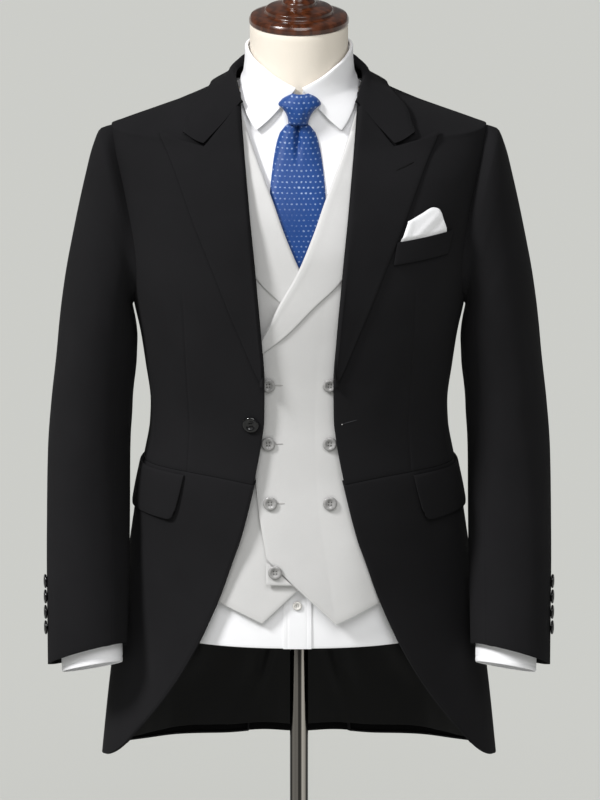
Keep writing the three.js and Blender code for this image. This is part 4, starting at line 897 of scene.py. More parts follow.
def collar_band(u, v):
    """The coat's collar: u from the wearer's left end to the right, v from its fold down."""
    side = np.where(u < 0.5, 1, -1)
    around = 1 - np.abs(2 * u - 1)
    w = unit((v - COLLAR_FOLD_SHARE) / (1 - COLLAR_FOLD_SHARE))
    fold, edge = mix(50, 180, around), mix(64, 180, around)
    turn = mix(fold, edge, w)
    z = mix(curve(COLLAR_ROLL)(fold), curve(COLLAR_OUTER)(edge), w)
    end = (1 - smooth(around / 0.16)) * (1 - w**16)
    spots = [(float(coat.turn_at(*spot)), spot[1]) for spot in GORGE]
    end_turn, end_z = (np.interp(w, (0, COLLAR_NOTCH_SHARE, 1), values) for values in zip(*spots))
    turn, z = mix(turn, end_turn, end), mix(z, end_z, end)
    ridge = 1.2 + 4.2 * bell(turn - 72, 16) * bell(w - 0.45, 0.5)
    angle = np.pi * unit(1 - v / COLLAR_FOLD_SHARE)
    puff = 1.2 * bell(w, 0.2) * (1 - end)
    lift = ridge + COAT + puff - (COAT + 1.2 + puff) * 0.5 * (1 - np.cos(angle))
    z = z - 2.2 * (1 - np.cos(angle / 2)) * (1 - end)
    return coat.out(side * turn, z, lift - 0.5 * bell((1 - w) * 45, 2))


def flap(u, v):
    wide, high = FLAP
    start, low = (float(coat.turn_at(x, z)) for x, z in ((137, WAIST), (149, WAIST - high)))
    turn = mix(mix(low, start, v), 104, u)
    top = at_waist(turn, WAIST) - 4
    inside = [FLAP_CORNER - np.clip(edge * wide, 0, FLAP_CORNER) for edge in (u, 1 - u)]
    corner = sum(FLAP_CORNER - np.sqrt(FLAP_CORNER**2 - far**2) for far in inside)
    rim = 0.5 * (bell(u * wide, 2) + bell((1 - u) * wide, 2) + bell(v * high, 2))
    swing = 1.6 * (1 - v) * bell(u, 0.25) + 0.7 * (1 - v) * np.sin(u * 9 + 1)
    lift = 1.1 + COAT + swing - rim - 0.9 * bell((1 - v) * high, 1.5)
    return coat.out(turn, top - high * (1 - v) + corner * (1 - smooth(v / 0.3)), lift)


def welt_top(x):
    share = (x - WELT_FROM) / (WELT_TO - WELT_FROM)
    return WELT_BASE + WELT_HEIGHT + WELT_SLOPE * share


def welt(u, v):
    x = mix(WELT_FROM - 4 * (1 - v), WELT_TO - 7 * (1 - v), u)
    z = welt_top(x) - WELT_HEIGHT * (1 - v)
    rim = 0.5 * (bell(u * 67, 1.5) + bell((1 - u) * 67, 1.5) + bell(v * 23, 1.2))
    return coat.at(x, z, OVERLAY + COAT - rim)


SQUARE_FOLDS = [(132, 0, 168, 30, 3.5, 0.8), (138, -4, 176, 24, 3, -1.1), (124, 4, 134, 30, 4, 0.6)]


def pocket_cloth(u, v):
    x = mix(mix(118.5, 175.5, u), curve(SQUARE_TOP)(u), v)
    rise = curve(SQUARE_TOP, 2)(u)
    z = welt_top(x) - 6 * (1 - v) + v * rise
    above = smooth((z - welt_top(x)) / 5)
    folds = creases(x, v * rise, SQUARE_FOLDS)
    rim = 0.9 * (bell((1 - v) * 28, 1.6) + bell(u * 50, 1.4) + bell((1 - u) * 50, 1.4))
    lift = OVERLAY + 0.7 + above * (1.2 + 1.2 * smooth(v * 3) + folds - rim)
    return coat.at(x, z, lift)


# Sleeves. "around" runs round a ring: 0 outside, 90 in front, 180 at the body.
def ring_point(ring, around, shrink=0.0):
    out_x, out_z, in_x, in_z, y, depth, up, tuck = ring
    c, s = np.cos(np.radians(around))[:, None], np.sin(np.radians(around))[:, None]
    across = np.array([out_x - in_x, 0, out_z - in_z]) / 2
    forward = np.array([0.0, -depth, up])
    shrink = np.broadcast_to(np.asarray(shrink, float), around.shape)[:, None]
    a, f = np.linalg.norm(across), np.linalg.norm(forward)
    middle = np.array([(out_x + in_x) / 2, y, (out_z + in_z) / 2])
    spot = middle + across / a * (a - shrink) * c + forward / f * (f - shrink) * s
    spot[:, 0] -= tuck * s[:, 0] ** 2
    return spot


def armhole_point(around, shrink, lift):
    c, s = np.cos(np.radians(around)), np.sin(np.radians(around))
    z = ARMHOLE["middle"] + (ARMHOLE["reach"] - 0.3 - shrink) * c
    depth = (ARMHOLE["depth"] - 0.3 - shrink) * (1 - ARMHOLE["egg"] * c)
    y = ARMHOLE["y"] + ARMHOLE["lean"] * c - depth * s
    return coat.out(coat.side_turn(y, z), z, lift)


def back_sleeve_seam(v):
    return mix(-85, -4, smooth((v - 0.2) / 0.8))


def sleeve(start, end, marks):
    """place(u, v) of a sleeve piece between two seams, from its armhole down to the wrist."""

    def place(u, v):
        around = mix(start(v) + 0.1, end(v) - 0.1, u).ravel()
        share = v.ravel()
        folds = creases(np.mod(around + 180, 360) - 180, share * SLEEVE_LENGTH, marks)
        sunk = (seam_dip(unit(u), 140, depth=0.12) + tucked(u, 140)).ravel()
        under = np.maximum(-share, 0) * SLEEVE_LENGTH
        rows = [armhole_point(around, -under, -0.9 - sunk - (COAT + 1.2) * smooth(under / 1.2))]
        rows += [ring_point(ring, around, sunk - folds) for ring in SLEEVE_RINGS]
        down = np.maximum(share, 0) * len(SLEEVE_RINGS)
        return through(np.stack(rows), down).reshape(*u.shape, 3)

    return place


def ring_shares(rings, step, first=None):
    """Shares of the way down a sleeve that are evenly spaced along its outer line."""
    outer = np.array([(r[0], r[1]) for r in rings], float)
    if first:
        outer = np.vstack([[first], outer])
    return even_shares(outer, step)


TOP_FOLDS = [
    (60, 330, -20, 350, 26, -1.6), (80, 380, 10, 420, 24, -1.3), (100, 280, 40, 300, 22, 1.2),
    (20, 60, 30, 240, 26, 0.9), (70, 120, 100, 220, 18, -1.1), (10, 470, 50, 560, 20, 0.9),
]
UNDER_FOLDS = [
    (170, 90, 150, 190, 16, -1.6), (-140, 120, -160, 220, 18, -1.5),
    (150, 320, -170, 350, 20, -1.6), (140, 380, 178, 400, 18, 1.2),
    (-100, 330, -60, 300, 20, -1.2), (-120, 420, -80, 460, 22, 1.0),
]
ARM_FOLDS = [(60, 200, 140, 260, 20, -1.5), (200, 260, 300, 300, 24, -1.5)]
FRONT_SLEEVE_SEAM = 128
top_sleeve = sleeve(back_sleeve_seam, lambda v: FRONT_SLEEVE_SEAM, TOP_FOLDS)
under_sleeve = sleeve(lambda v: FRONT_SLEEVE_SEAM, lambda v: back_sleeve_seam(v) + 360, UNDER_FOLDS)


def tube(rings, marks, hem=0.0):
    """place(u, v) of a sleeve without a seam, through its rings."""

    def place(u, v):
        around, share = u.ravel() * 360, v.ravel()
        shrink = -creases(around, share * 500, marks)
        if hem:
            rise = (1 - share) * CUFF
            shrink = shrink + hem * bell(rise - 6, 0.8) + 0.5 * bell(rise, 1.2)
        rows = np.stack([ring_point(ring, around, shrink) for ring in rings])
        return through(rows, share * (len(rings) - 1)).reshape(*u.shape, 3)

    return place


# ---------------------------------------------------------------- waistcoat
vest_front_turn, vest_back_turn = curve(VEST_ARMHOLE, 1), curve(VEST_ARMHOLE, 2)


def vest_edge(z):
    return np.where(z < 1190, curve(VEST_EDGE)(z), curve(VEST_OPENING)(z))


def shoulder_ease(turn, z):
    return 2.6 * bell(z - 1442, 18) * (1 - smooth((np.abs(np.abs(turn) - 90) - 25) / 30))


def vest_lift(turn, z, over):
    x = np.abs(figure.point(turn, z)[..., 0]) * np.sign(turn)
    forward = (1 - smooth((np.abs(turn) - 28) / 50)) * (1 - smooth((z - 1395) / 60))
    lap = VEST_OVER * (1 - smooth((x - 58) / 60)) * (1 - smooth((z - 1310) / 60)) if over else 0
    return mix(VEST_SIDE, VEST_MIDDLE, forward) + shoulder_ease(turn, z) + lap


VEST_CORNERS = (0, 1 / 3, 5 / 9, 7 / 9, 1)
VEST_LOW, VEST_TOP, VEST_LOW_SHARE = 985, 1480, 0.18
# turn times 2.6, height, to turn times 2.6, height, width, depth
VEST_FOLDS = [
    (30, 1050, 160, 1010, 14, -0.9), (60, 960, 150, 940, 12, 0.8), (120, 1100, 200, 1080, 14, -0.9),
    (0, 940, 70, 900, 12, -0.7), (90, 1190, 170, 1150, 16, 0.8),
]
VEST_BACK_FOLDS = [
    (400, 1100, 440, 1000, 16, -1), (500, 1120, 540, 1010, 16, -1), (420, 1300, 520, 1290, 20, 0.8),
]


def vest_front(over):
    """place(u, v) of a front: u from its edge to the side, v from the hem up."""
    side = (float(figure.point(90, VEST_SIDE_HEM)[0]), VEST_SIDE_HEM)
    low_x, low_z = zip(*VEST_HEM, side)

    def place(u, v):
        x, low = np.interp(u, VEST_CORNERS, low_x), np.interp(u, VEST_CORNERS, low_z)
        z = mix(VEST_LOW, VEST_TOP, unit((v - VEST_LOW_SHARE) / (1 - VEST_LOW_SHARE)))
        level = mix(figure.turn_at(vest_edge(z), z), vest_front_turn(z), u)
        share = unit(v / VEST_LOW_SHARE)
        bottom = np.where(u > 0.999, 90, figure.turn_at(x, low))
        turn, z = mix(bottom, level, share), mix(low, z, share)
        rim = 0.5 * (bell(u * 200, 1.6) + bell(v * 600, 1.6))
        folds = creases(turn * 2.6, z, VEST_FOLDS)
        return figure.out(turn, z, vest_lift(turn, z, over) + VEST + folds - rim)

    return place


def vest_lapel(over):
    def place(u, v):
        z = mix(1193, 1452, v)
        start = vest_edge(z) + 0.6
        x = mix(start, np.maximum(curve(VEST_LAPEL)(z), vest_edge(z) + 2), u)
        turn = figure.turn_at(x, z)
        clear = 2.4 + 1.6 * smooth((z - 1400) / 30)
        roll = 0.8 * bell(u * 90 - 6, 6) - 1.0 * bell(u * 90, 1.8) - 0.4 * bell((1 - u) * 90, 1.6)
        return figure.out(turn, z, vest_lift(turn, z, over) + VEST + clear + roll)

    return place


def vest_corner(u, v):
    x, z = mix(-38, mix(-8, -36.8, v), u), mix(905, 933, v)
    rim = 0.5 * (bell(u * 28, 1.2) + bell((1 - u) * 28, 1.2) + bell(v * 28, 1.2))
    return figure.at(x, z, VEST_MIDDLE + VEST_OVER + VEST - rim)


def vest_back(u, v):
    z = mix(VEST_SIDE_HEM, VEST_TOP, v)
    turn = mix(vest_back_turn(z), 360 - vest_back_turn(z), u)
    near = np.where(turn > 180, 360 - turn, turn)
    middle = 0.8 * bell((u - 0.5) * 220, 1.6)
    folds = creases(turn * 2.6, z, VEST_BACK_FOLDS)
    return figure.out(turn, z, VEST_SIDE + shoulder_ease(near, z) + VEST + folds - middle)


# ---------------------------------------------------------------- shirt and tie
SHIRT_LOW, SHIRT_HIGH = 821, 1491
shirt_front_turn, shirt_back_turn = curve(SHIRT_ARMHOLE, 1), curve(SHIRT_ARMHOLE, 2)
SHIRT_FOLDS = [
    (150, 900, 130, 830, 12, -0.7), (90, 890, 100, 826, 9, 0.6), (40, 1440, 80, 1380, 14, 0.6),
    (200, 940, 210, 830, 14, -0.9),
]


def shirt_panel(start, end):
    def place(u, v):
        z = mix(SHIRT_LOW, SHIRT_HIGH, v)
        turn = mix(start(z), end(z), u)
        folds = creases(np.abs(turn) * 2.6, z, SHIRT_FOLDS)
        hem = 0.35 * bell(z - SHIRT_LOW - 6, 0.8) + 0.4 * bell(z - SHIRT_LOW, 1)
        return figure.out(turn, z, ON_SHIRT + np.minimum(folds, 0.4) - hem)

    return place


def shirt_middle(z):
    return figure.turn_at(-2, z)


def placket(u, v):
    z = mix(SHIRT_LOW, SHIRT_HIGH, v)
    at = u * PLACKET
    stitch = 0.3 * (bell(at - 0.16 * PLACKET, 0.7) + bell(at - 0.84 * PLACKET, 0.7))
    edges = bell(at - 0.05 * PLACKET, 3) + bell(at - 0.95 * PLACKET, 3)
    pucker = 0.12 * np.sin(z * 0.9) * edges
    return figure.at(mix(-19, 15, u), z, ON_SHIRT + 1.5 - stitch + pucker)


COLLAR_END, LEAF_ROLL = 4, 0.06


def collar_stand(u, v):
    turn = mix(COLLAR_END, 360 - COLLAR_END, u)
    z = mix(1492.5, curve(COLLAR_FOLD)(np.minimum(turn, 360 - turn)) - 2.2, v)
    return figure.out(turn, z, ON_SHIRT)


def collar_leaf(u, v):
    turn = mix(COLLAR_END, 360 - COLLAR_END, u)
    around = np.minimum(turn, 360 - turn)
    w = unit((v - LEAF_ROLL) / (1 - LEAF_ROLL))
    edge = 180 - (180 - around) * (180 - LEAF_EDGE[0][0]) / (180 - COLLAR_END)
    at = mix(around, edge, w)
    z = mix(curve(COLLAR_FOLD)(around), curve(LEAF_EDGE)(edge), w)
    lift = 3.6 + 3.4 * smooth(w) * (1 - smooth((at - 45) / 50)) + SHIRT
    angle = np.pi * unit(1 - v / LEAF_ROLL)
    ends = [bell(far - 5, 0.7) for far in ((1 - w) * LEAF, u * 400, (1 - u) * 400)]
    stitch = 0.25 * sum(ends) + 0.3 * bell((1 - w) * LEAF, 1)
    z = z + 0.9 * np.sin(angle) + 0.4 * bell(w * 40, 4)
    lift = lift - 0.91 * (1 - np.cos(angle)) - stitch
    return figure.out(np.where(turn < 180, at, -at), z, lift)


TIE_SHIFT = -1.5


def tie_blade(u, v):
    z = mix(1095, 1466, v)
    side = 2 * u - 1
    x = side * curve(TIE_BLADE)(z) + TIE_SHIFT
    dimple = 7.5 * bell(side, 0.13) * smooth((z - 1408) / 42)
    puckers = 0.72 * smooth((z - 1400) / 40) * (bell(side - 0.55, 0.12) + bell(side + 0.5, 0.14))
    full = 3.4 * (1 - side**2) * smooth((z - 1380) / 60)
    lift = 4.5 + TIE * (1.15 - 1.3 * np.abs(side) ** 6) + full
    return figure.at(x, z, lift - dimple + puckers)


def tie_knot(u, v):
    z = mix(1464, 1502, v)
    side = 2 * u - 1
    x = side * curve(KNOT_HALF)(z) + TIE_SHIFT + mix(0.5, 3.2, v)
    bulge = np.sqrt(np.maximum(1 - side**2, 0))
    lift = mix(5.5, curve(KNOT_OUT)(z), bulge)
    low = 1 - smooth((z - 1464) / 3)
    top = smooth((z - 1499) / 6)
    fold = 0.8 * bell(side - 0.25 + (z - 1490) * 0.012, 0.09) + 0.5 * bell(side + 0.5, 0.12)
    return figure.at(x, z, lift * (1 - 0.12 * low - 0.35 * top) - fold)


# ---------------------------------------------------------------- the form and small pieces
FORM_LOW, FORM_HIGH, FORM_END = 862, 1571, 0.06


def form_skin(u, v):
    """The padded form, all round and drawn in to its middle at both ends."""
    z = mix(FORM_LOW, FORM_HIGH, unit((v - FORM_END) / (1 - 2 * FORM_END)))
    inward = np.minimum(smooth(v / FORM_END), smooth((1 - v) / FORM_END)) ** 0.5
    middle = np.stack([0 * z, 0 * z, z], -1)
    return mix(middle, figure.point(u * 360, z), inward[..., None])


def spun(profile, steps):
    """A mesh turned about the upright axis from a profile of (radius, height)."""
    bm = bmesh.new()
    verts = [bm.verts.new((r * MM, 0, z * MM)) for r, z in profile]
    edges = [bm.edges.new(two) for two in zip(verts, verts[1:])]
    bmesh.ops.spin(
        bm, geom=verts + edges, cent=(0, 0, 0), axis=(0, 0, 1), angle=2 * math.pi, steps=steps,
        use_merge=True,
    )
    bmesh.ops.remove_doubles(bm, verts=bm.verts, dist=WELD)
    bmesh.ops.recalc_face_normals(bm, faces=bm.faces)
    return bm


def rounded(points, per=5):
    """More points on the smooth line through a few."""
    rows = np.array(points, float)[:, None, :]
    at = np.linspace(0, len(points) - 1, (len(points) - 1) * per + 1)
    return [tuple(p) for p in through(np.repeat(rows, len(at), 1), at)]


def facing(seat, normal):
    """The matrix that takes a piece made round the origin to a seat in millimetres, facing out."""
    turned = Vector((0, 0, 1)).rotation_difference(Vector(normal)).to_matrix().to_4x4()
    return Matrix.Translation(Vector(seat) * MM) @ turned


BUTTON_PROFILE = [
    (0, 0.17), (0.38, 0.17), (0.46, 0.2), (0.56, 0.3), (0.68, 0.355), (0.8, 0.36), (0.92, 0.3),
    (1.0, 0.2), (0.98, 0.1), (0.84, 0.01), (0, 0.0),
]


HOLE_OUT, HOLE_RADIUS, HOLE_HEIGHT = 0.19, 0.1, 0.178


def give_finish(verts, index):
    """Gives the faces round the vertices one of the piece's finishes."""
    for face in {f for v in verts for f in v.link_faces}:
        face.material_index = index


def blob(bm, subdivisions, size, spot=(0, 0, 0)):
    verts = bmesh.ops.create_icosphere(bm, subdivisions=subdivisions, radius=1)["verts"]
    bmesh.ops.scale(bm, verts=verts, vec=size)
    bmesh.ops.translate(bm, verts=verts, vec=spot)
    return verts


def button(name, node, seat, normal, radius, horn, hole, thread):
    """A four-hole button, a black one sewn on with two bars of thread."""
    bm = spun([(r * radius, h * radius) for r, h in BUTTON_PROFILE], 28)
    r = radius * MM
    # each hole is a flat disc in the hole finish, painted dark as the shade inside it
    for x, y in ((-1, -1), (-1, 1), (1, -1), (1, 1)):
        spot = Matrix.Translation((x * HOLE_OUT * r, y * HOLE_OUT * r, HOLE_HEIGHT * r))
        size = {"segments": 10, "radius": HOLE_RADIUS * r}
        ring = bmesh.ops.create_circle(bm, cap_ends=True, matrix=spot, **size)
        give_finish(ring["verts"], 1)
    if horn == "horn_black":
        for y in (-1, 1):
            size, spot = (0.26 * r, 0.065 * r, 0.05 * r), (0, y * HOLE_OUT * r, 0.2 * r)
            give_finish(blob(bm, 2, size, spot), 2)
    bm.transform(facing(seat, normal))
    return finish_piece(name, bm, (horn, hole, thread), [node])


def stitched_slit(name, start, end, normal, width, look):
    """A worked buttonhole: a low rounded bar of stitches with a slit along it."""
    start, end = np.asarray(start), np.asarray(end)
    length = float(np.linalg.norm(end - start))
    bm = bmesh.new()
    for index, (long, wide, high) in enumerate(((0.5, 0.5, 0.45), (0.42, 0.14, 0.5))):
        size = (long * length * MM, wide * width * MM, high * MM)
        give_finish(blob(bm, 3, size), index)
    along = Vector((end - start) / length)
    out = Vector(normal)
    out = (out - along * out.dot(along)).normalized()
    axes = Matrix((along, out.cross(along), out)).transposed().to_4x4()
    bm.transform(Matrix.Translation(Vector((start + end) / 2) * MM) @ axes)
    # a dark buttonhole's slit takes the hole finish, painted black as the shade in the slit
    return finish_piece(name, bm, (look, "hole" if look == "dark_thread" else look))


# ---------------------------------------------------------------- the add-on's settings
def factor(name, description):
    return FloatProperty(
        name=name, description=description, default=1.0, min=0, max=2, subtype="FACTOR"
    )


def length(name, description, default, low, high):
    return FloatProperty(
        name=name, description=description, default=default, min=low, max=high, unit="LENGTH"
    )


def colour(name, description, default):
    return FloatVectorProperty(
        name=name, description=description, default=default, subtype="COLOR", size=3, min=0, max=1
    )


class SuitSizes(PropertyGroup):
    folds: factor("Folds", "Depth of the soft folds, as a share of the modelled one")
    seams: factor("Seams", "How deep the cloth sinks at its seams, as a share")
    cell: length("Cell", "Size of a grid cell of the coat's cloth", 0.007, 0.003, 0.02)
    coat_button: length("Coat button", "Radius of the coat's front button", 0.010, 0.006, 0.014)
    vest_button: length("Waistcoat button", "Radius of a waistcoat button", 0.0085, 0.005, 0.012)


class SuitColours(PropertyGroup):
    coat: colour("Coat", "Black wool of the coat", (0.0138, 0.0135, 0.0146))
    lining: colour("Lining", "Satin lining of the coat", (0.0036, 0.0036, 0.0038))
    waistcoat: colour("Waistcoat", "Light grey wool of the waistcoat", (0.66, 0.655, 0.65))
    shirt: colour("Shirt", "White cotton", (0.93, 0.93, 0.95))
    tie: colour("Tie", "Blue ground of the tie", (0.013, 0.064, 0.262))
    tie_dot: colour("Tie dots", "Light dots of the tie", (0.5, 0.62, 0.85))
    jersey: colour("Form", "Cream jersey of the form", (0.9, 0.825, 0.72))
    wood: colour("Cap", "Dark stained wood", (0.1, 0.026, 0.008))
    horn: colour("Coat buttons", "Black horn", (0.004, 0.004, 0.0045))
    grey_horn: colour("Waistcoat buttons", "Grey horn", (0.36, 0.355, 0.35))
    pearl: colour("Shirt button", "Pale shell", (0.8, 0.78, 0.74))
    floor: colour("Floor", "Pale studio floor", (0.52, 0.525, 0.5))


def cells(millimetres):
    return round(millimetres * MM / bpy.context.scene.suit_sizes.cell)


class SUIT_OT_finishes(Operator):
    """Makes the finishes of the cloth, horn, wood and steel"""

    bl_idname = "suit.finishes"
    bl_label = "Finishes"

    def execute(self, context):
        make_finishes()
        return {"FINISHED"}


class SUIT_OT_form(Operator):
    """Makes the dress form, its turned cap, and the pole and foot of the stand"""

    bl_idname = "suit.form"
    bl_label = "Dress form and stand"

    def execute(self, context):
        middle = np.linspace(FORM_END, 1 - FORM_END, 90)
        shares = [np.linspace(0, FORM_END, 7), middle[1:-1], np.linspace(1 - FORM_END, 1, 7)]
        bm, _ = bend(np.linspace(0, 1, 97), np.concatenate(shares), form_skin)
        bmesh.ops.remove_doubles(bm, verts=bm.verts, dist=WELD)
        form = finish_piece("padded_form", bm, ("form_jersey",), ["form_body"], round_edge=1.5)
        for name, profile, steps, look, node, edge, angle in (
            ("wooden_cap", CAP + rounded(FINIAL)[1:], 72, "turned_wood", "form_cap", 0.5, 25),
            ("chrome_pole", POLE, 64, "polished_steel", "stand_pole", 0.4, 50),
            ("chrome_foot", FOOT, 96, "polished_steel", "stand_foot", 0.8, 25),
        ):
            bm = spun(profile, steps)
            finish_piece(name, bm, (look,), [node], round_edge=edge, angle=angle)
        return {"FINISHED"}


class SUIT_OT_shirt(Operator):
    """Makes the shirt: fronts, back, placket, collar, sleeves, cuffs and button"""

    bl_idname = "suit.shirt"
    bl_label = "Shirt"

    def execute(self, context):
        sew = partial(cloth, looks=WHITE, thick=SHIRT)
        high, wide = stations(80, 670, (0,)), stations(26, 250)
        right, around = lambda z: -shirt_front_turn(z), lambda z: 360 - shirt_back_turn(z)
        for name, node, across, start, end in (
            ("shirt_left", "shirt_front_left", wide, shirt_middle, shirt_front_turn),
            ("shirt_right", "shirt_front_right", wide, right, shirt_middle),
            ("shirt_behind", "shirt_back", stations(40, 450), shirt_back_turn, around),
        ):
            sew(name, node, across, high, shirt_panel(start, end))
        cloth(
            "shirt_button_band", "shirt_placket", stations(16, PLACKET, (0, 0.16, 0.84, 1)),
            stations(110, 670, (0,)), placket, WHITE, 0.9, on=("shirt_left",),
        )
        band_u, band_v = np.linspace(0, 1, 91), np.linspace(0, 1, 7)
        sew(
            "collar_band_white", "shirt_collar_stand", band_u, band_v, collar_stand,
            held="stretched",
        )
        sew(
            "collar_leaf_white", "shirt_collar_leaf", stations(120, 400),
            rolled(LEAF_ROLL, 7, stations(14, LEAF, (1,))), collar_leaf,
            on=("collar_band_white",), held="folded",
        )
        arm, arm_v = tube(SHIRT_SLEEVE_RINGS, ARM_FOLDS), ring_shares(SHIRT_SLEEVE_RINGS, 12)
        pair("shirt_arm", np.linspace(0, 1, 41), arm_v, arm, WHITE, SHIRT, closed=True)
        wrist, wrist_v = tube(CUFF_RINGS, (), 0.35), stations(12, CUFF, (0, 0.9, 1))
        pair("shirt_wristband", np.linspace(0, 1, 57), wrist_v, wrist, WHITE, SHIRT, closed=True)
        x, z = SHIRT_BUTTON
        turn = float(figure.turn_at(x, z))
        seat, out = figure.out(turn, z, ON_SHIRT + 1.85), figure.normal(turn, z)
        button("shell_button", "shirt_button", seat, out, 5.7, "pearl", "grey_hole", "shirt_cotton")
        return {"FINISHED"}


class SUIT_OT_tie(Operator):
    """Makes the tie's blade and knot"""

    bl_idname = "suit.tie"
    bl_label = "Tie"

    def execute(self, context):
        silk = ("tie_silk",)
        bm, _ = bend(np.linspace(0, 1, 33), np.linspace(0, 1, 25), tie_knot)
        knot = finish_piece("silk_knot", bm, silk, ["tie_knot"], 2.0, 0.4)
        cloth(
            "silk_blade", "tie_blade", stations(28, 70), stations(60, 370), tie_blade, silk,
            TIE * 0.8, held="folded", on=("shirt_left",), with_pieces=[knot],
        )
        return {"FINISHED"}


class SUIT_OT_waistcoat(Operator):
    """Makes the waistcoat's fronts, lapels, corner and back"""

    bl_idname = "suit.waistcoat"
    bl_label = "Waistcoat"

    def execute(self, context):
        sew = partial(cloth, looks=("vest_wool",), thick=VEST)
        wide = stations(34, 240, VEST_CORNERS)
        level = mix(VEST_LOW_SHARE, 1, level_shares(figure, VEST_LOW, VEST_TOP, 8))
        tall = np.array(sorted({0.0016, 0.004, *np.linspace(0, VEST_LOW_SHARE, 15), *level[1:]}))
        lapel_u, lapel_v = stations(14, 90), stations(36, 270)
        for side, ending, over in ((1, "left", True), (-1, "right", False)):
            sew(
                "vest_" + ending, "waistcoat_front_" + ending, wide, tall, vest_front(over),
                side=side, on=("shirt_front_" + ending,),
            )
            sew(
                "vest_lapel_" + ending, "waistcoat_lapel_" + ending, lapel_u, lapel_v,
                vest_lapel(over), thick=1.4, side=side, held="folded", on=("vest_" + ending,),
            )
        small = stations(6, 28)
        sew(
            "vest_tab", "waistcoat_corner", small, small, vest_corner, held="laid",
            on=("vest_right",),
        )
        behind_v = level_shares(figure, VEST_SIDE_HEM, VEST_TOP, 9)
        sew("vest_behind", "waistcoat_back", stations(44, 420, (0, 0.5, 1)), behind_v, vest_back)
        return {"FINISHED"}


class SUIT_OT_coat(Operator):
    """Makes the coat's foreparts, side bodies, back with tails, skirts and tail lining"""

    bl_idname = "suit.coat"
    bl_label = "Coat body and tails"

    def execute(self, context):
        def upright(low, *extra):
            """Shares from a height to the neck, closer about the crest of the shoulder."""
            crest = [(SHOULDER - low + n) / (NECK - low) for n in (-4, -1.5, 0, 1.5, 4)]
            step = context.scene.suit_sizes.cell / MM
            return np.array(sorted({*extra, *crest, *level_shares(coat, low, NECK, step)}))

        fore_u = stations(cells(210), 200, (0, DART_SHARE, 1))
        fore_v = upright(WAIST, 0.0017, 0.0043)
        pair("forepart", fore_u, fore_v, forepart, WOOL, COAT, on=("vest_behind",))
        side_u, side_v = stations(cells(150), 160, under=(5, 5)), stations(cells(224), 224)
        pair("side_body", side_u, side_v, side_body, WOOL, COAT, on=("forepart_left",))
        back_v = upright(HEM)
        for side, ending, under in ((1, "left", (0.8, 5)), (-1, "right", (0, 0))):
            back_u = stations(cells(120), 110, under=under)
            cloth(
                "back_panel_" + ending, "coat_back_" + ending, back_u, back_v, back_panel, FACED,
                COAT, side, on=("vest_behind",),
            )
        skirt_u = stations(cells(SKIRT[0]), SKIRT[0], (0, 0.5, 1), (0.8, 5))
        skirt_v = stations(cells(SKIRT[1]), SKIRT[1], under=(0.8, 5))
        on = ("forepart_left", "side_body_left")
        pair("skirt", skirt_u, skirt_v, skirt, FACED, COAT, on=on)
        satin_u, satin_v = stations(56, 260), stations(50, 346)
        on = ("back_panel_left",)
        pair("tail_satin", satin_u, satin_v, tail_satin, ("lining_satin",), LINING, on=on)
        return {"FINISHED"}


class SUIT_OT_lapels(Operator):
    """Makes the coat's rolled lapels and its collar"""

    bl_idname = "suit.lapels"
    bl_label = "Lapels and collar"

    def execute(self, context):
        across = rolled(ROLL_SHARE, 9, stations(20, 110, (0.4, 1)))
        on = ("forepart_left",)
        pair("lapel", across, stations(48, 300), lapel, WOOL[:1], COAT, held="folded", on=on)
        down = rolled(COLLAR_FOLD_SHARE, 8, stations(12, 45, (0.6, 1)))
        cloth(
            "wool_collar", "coat_collar", stations(110, 420), down, collar_band, WOOL[:1], COAT,
            held="folded", on=("back_panel_left", "back_panel_right"),
        )
        return {"FINISHED"}


class SUIT_OT_pockets(Operator):
    """Makes the pocket flaps, the breast welt and the pocket square"""

    bl_idname = "suit.pockets"
    bl_label = "Pockets"

    def execute(self, context):
        end = FLAP_CORNER / FLAP[0]
        ends = np.linspace(0, end, 9)
        across = np.concatenate([ends, np.linspace(end, 1 - end, 24)[1:-1], 1 - ends[::-1]])
        pair(
            "pocket_flap", across, stations(14, FLAP[1]), flap, WOOL[:1], COAT,
            on=("skirt_left",),
        )
        cloth(
            "breast_welt", "coat_welt", stations(12, 67), stations(6, 23), welt, WOOL[:1], COAT,
            on=("forepart_left",),
        )
        cloth(
            "white_square", "pocket_square", np.linspace(0, 1, 45), np.linspace(0, 1, 31),
            pocket_cloth, WHITE, 1.2, held="folded", on=("breast_welt",),
        )
        return {"FINISHED"}


class SUIT_OT_sleeves(Operator):
    """Makes the coat's two-piece sleeves"""

    bl_idname = "suit.sleeves"
    bl_label = "Sleeves"

    def execute(self, context):
        seam = {reach / SLEEVE_LENGTH for reach in (-5, -1.2, 1.2, 3)}
        down = np.array(sorted({*seam, *ring_shares(SLEEVE_RINGS, 7, (224, 1445))}))
        top_u, under_u = stations(30, 160), stations(24, 120, under=(5, 5))
        pair("top_sleeve", top_u, down, top_sleeve, WOOL, COAT, on=("forepart_left",))
        pair("under_sleeve", under_u, down, under_sleeve, WOOL, COAT, on=("side_body_left",))
        return {"FINISHED"}


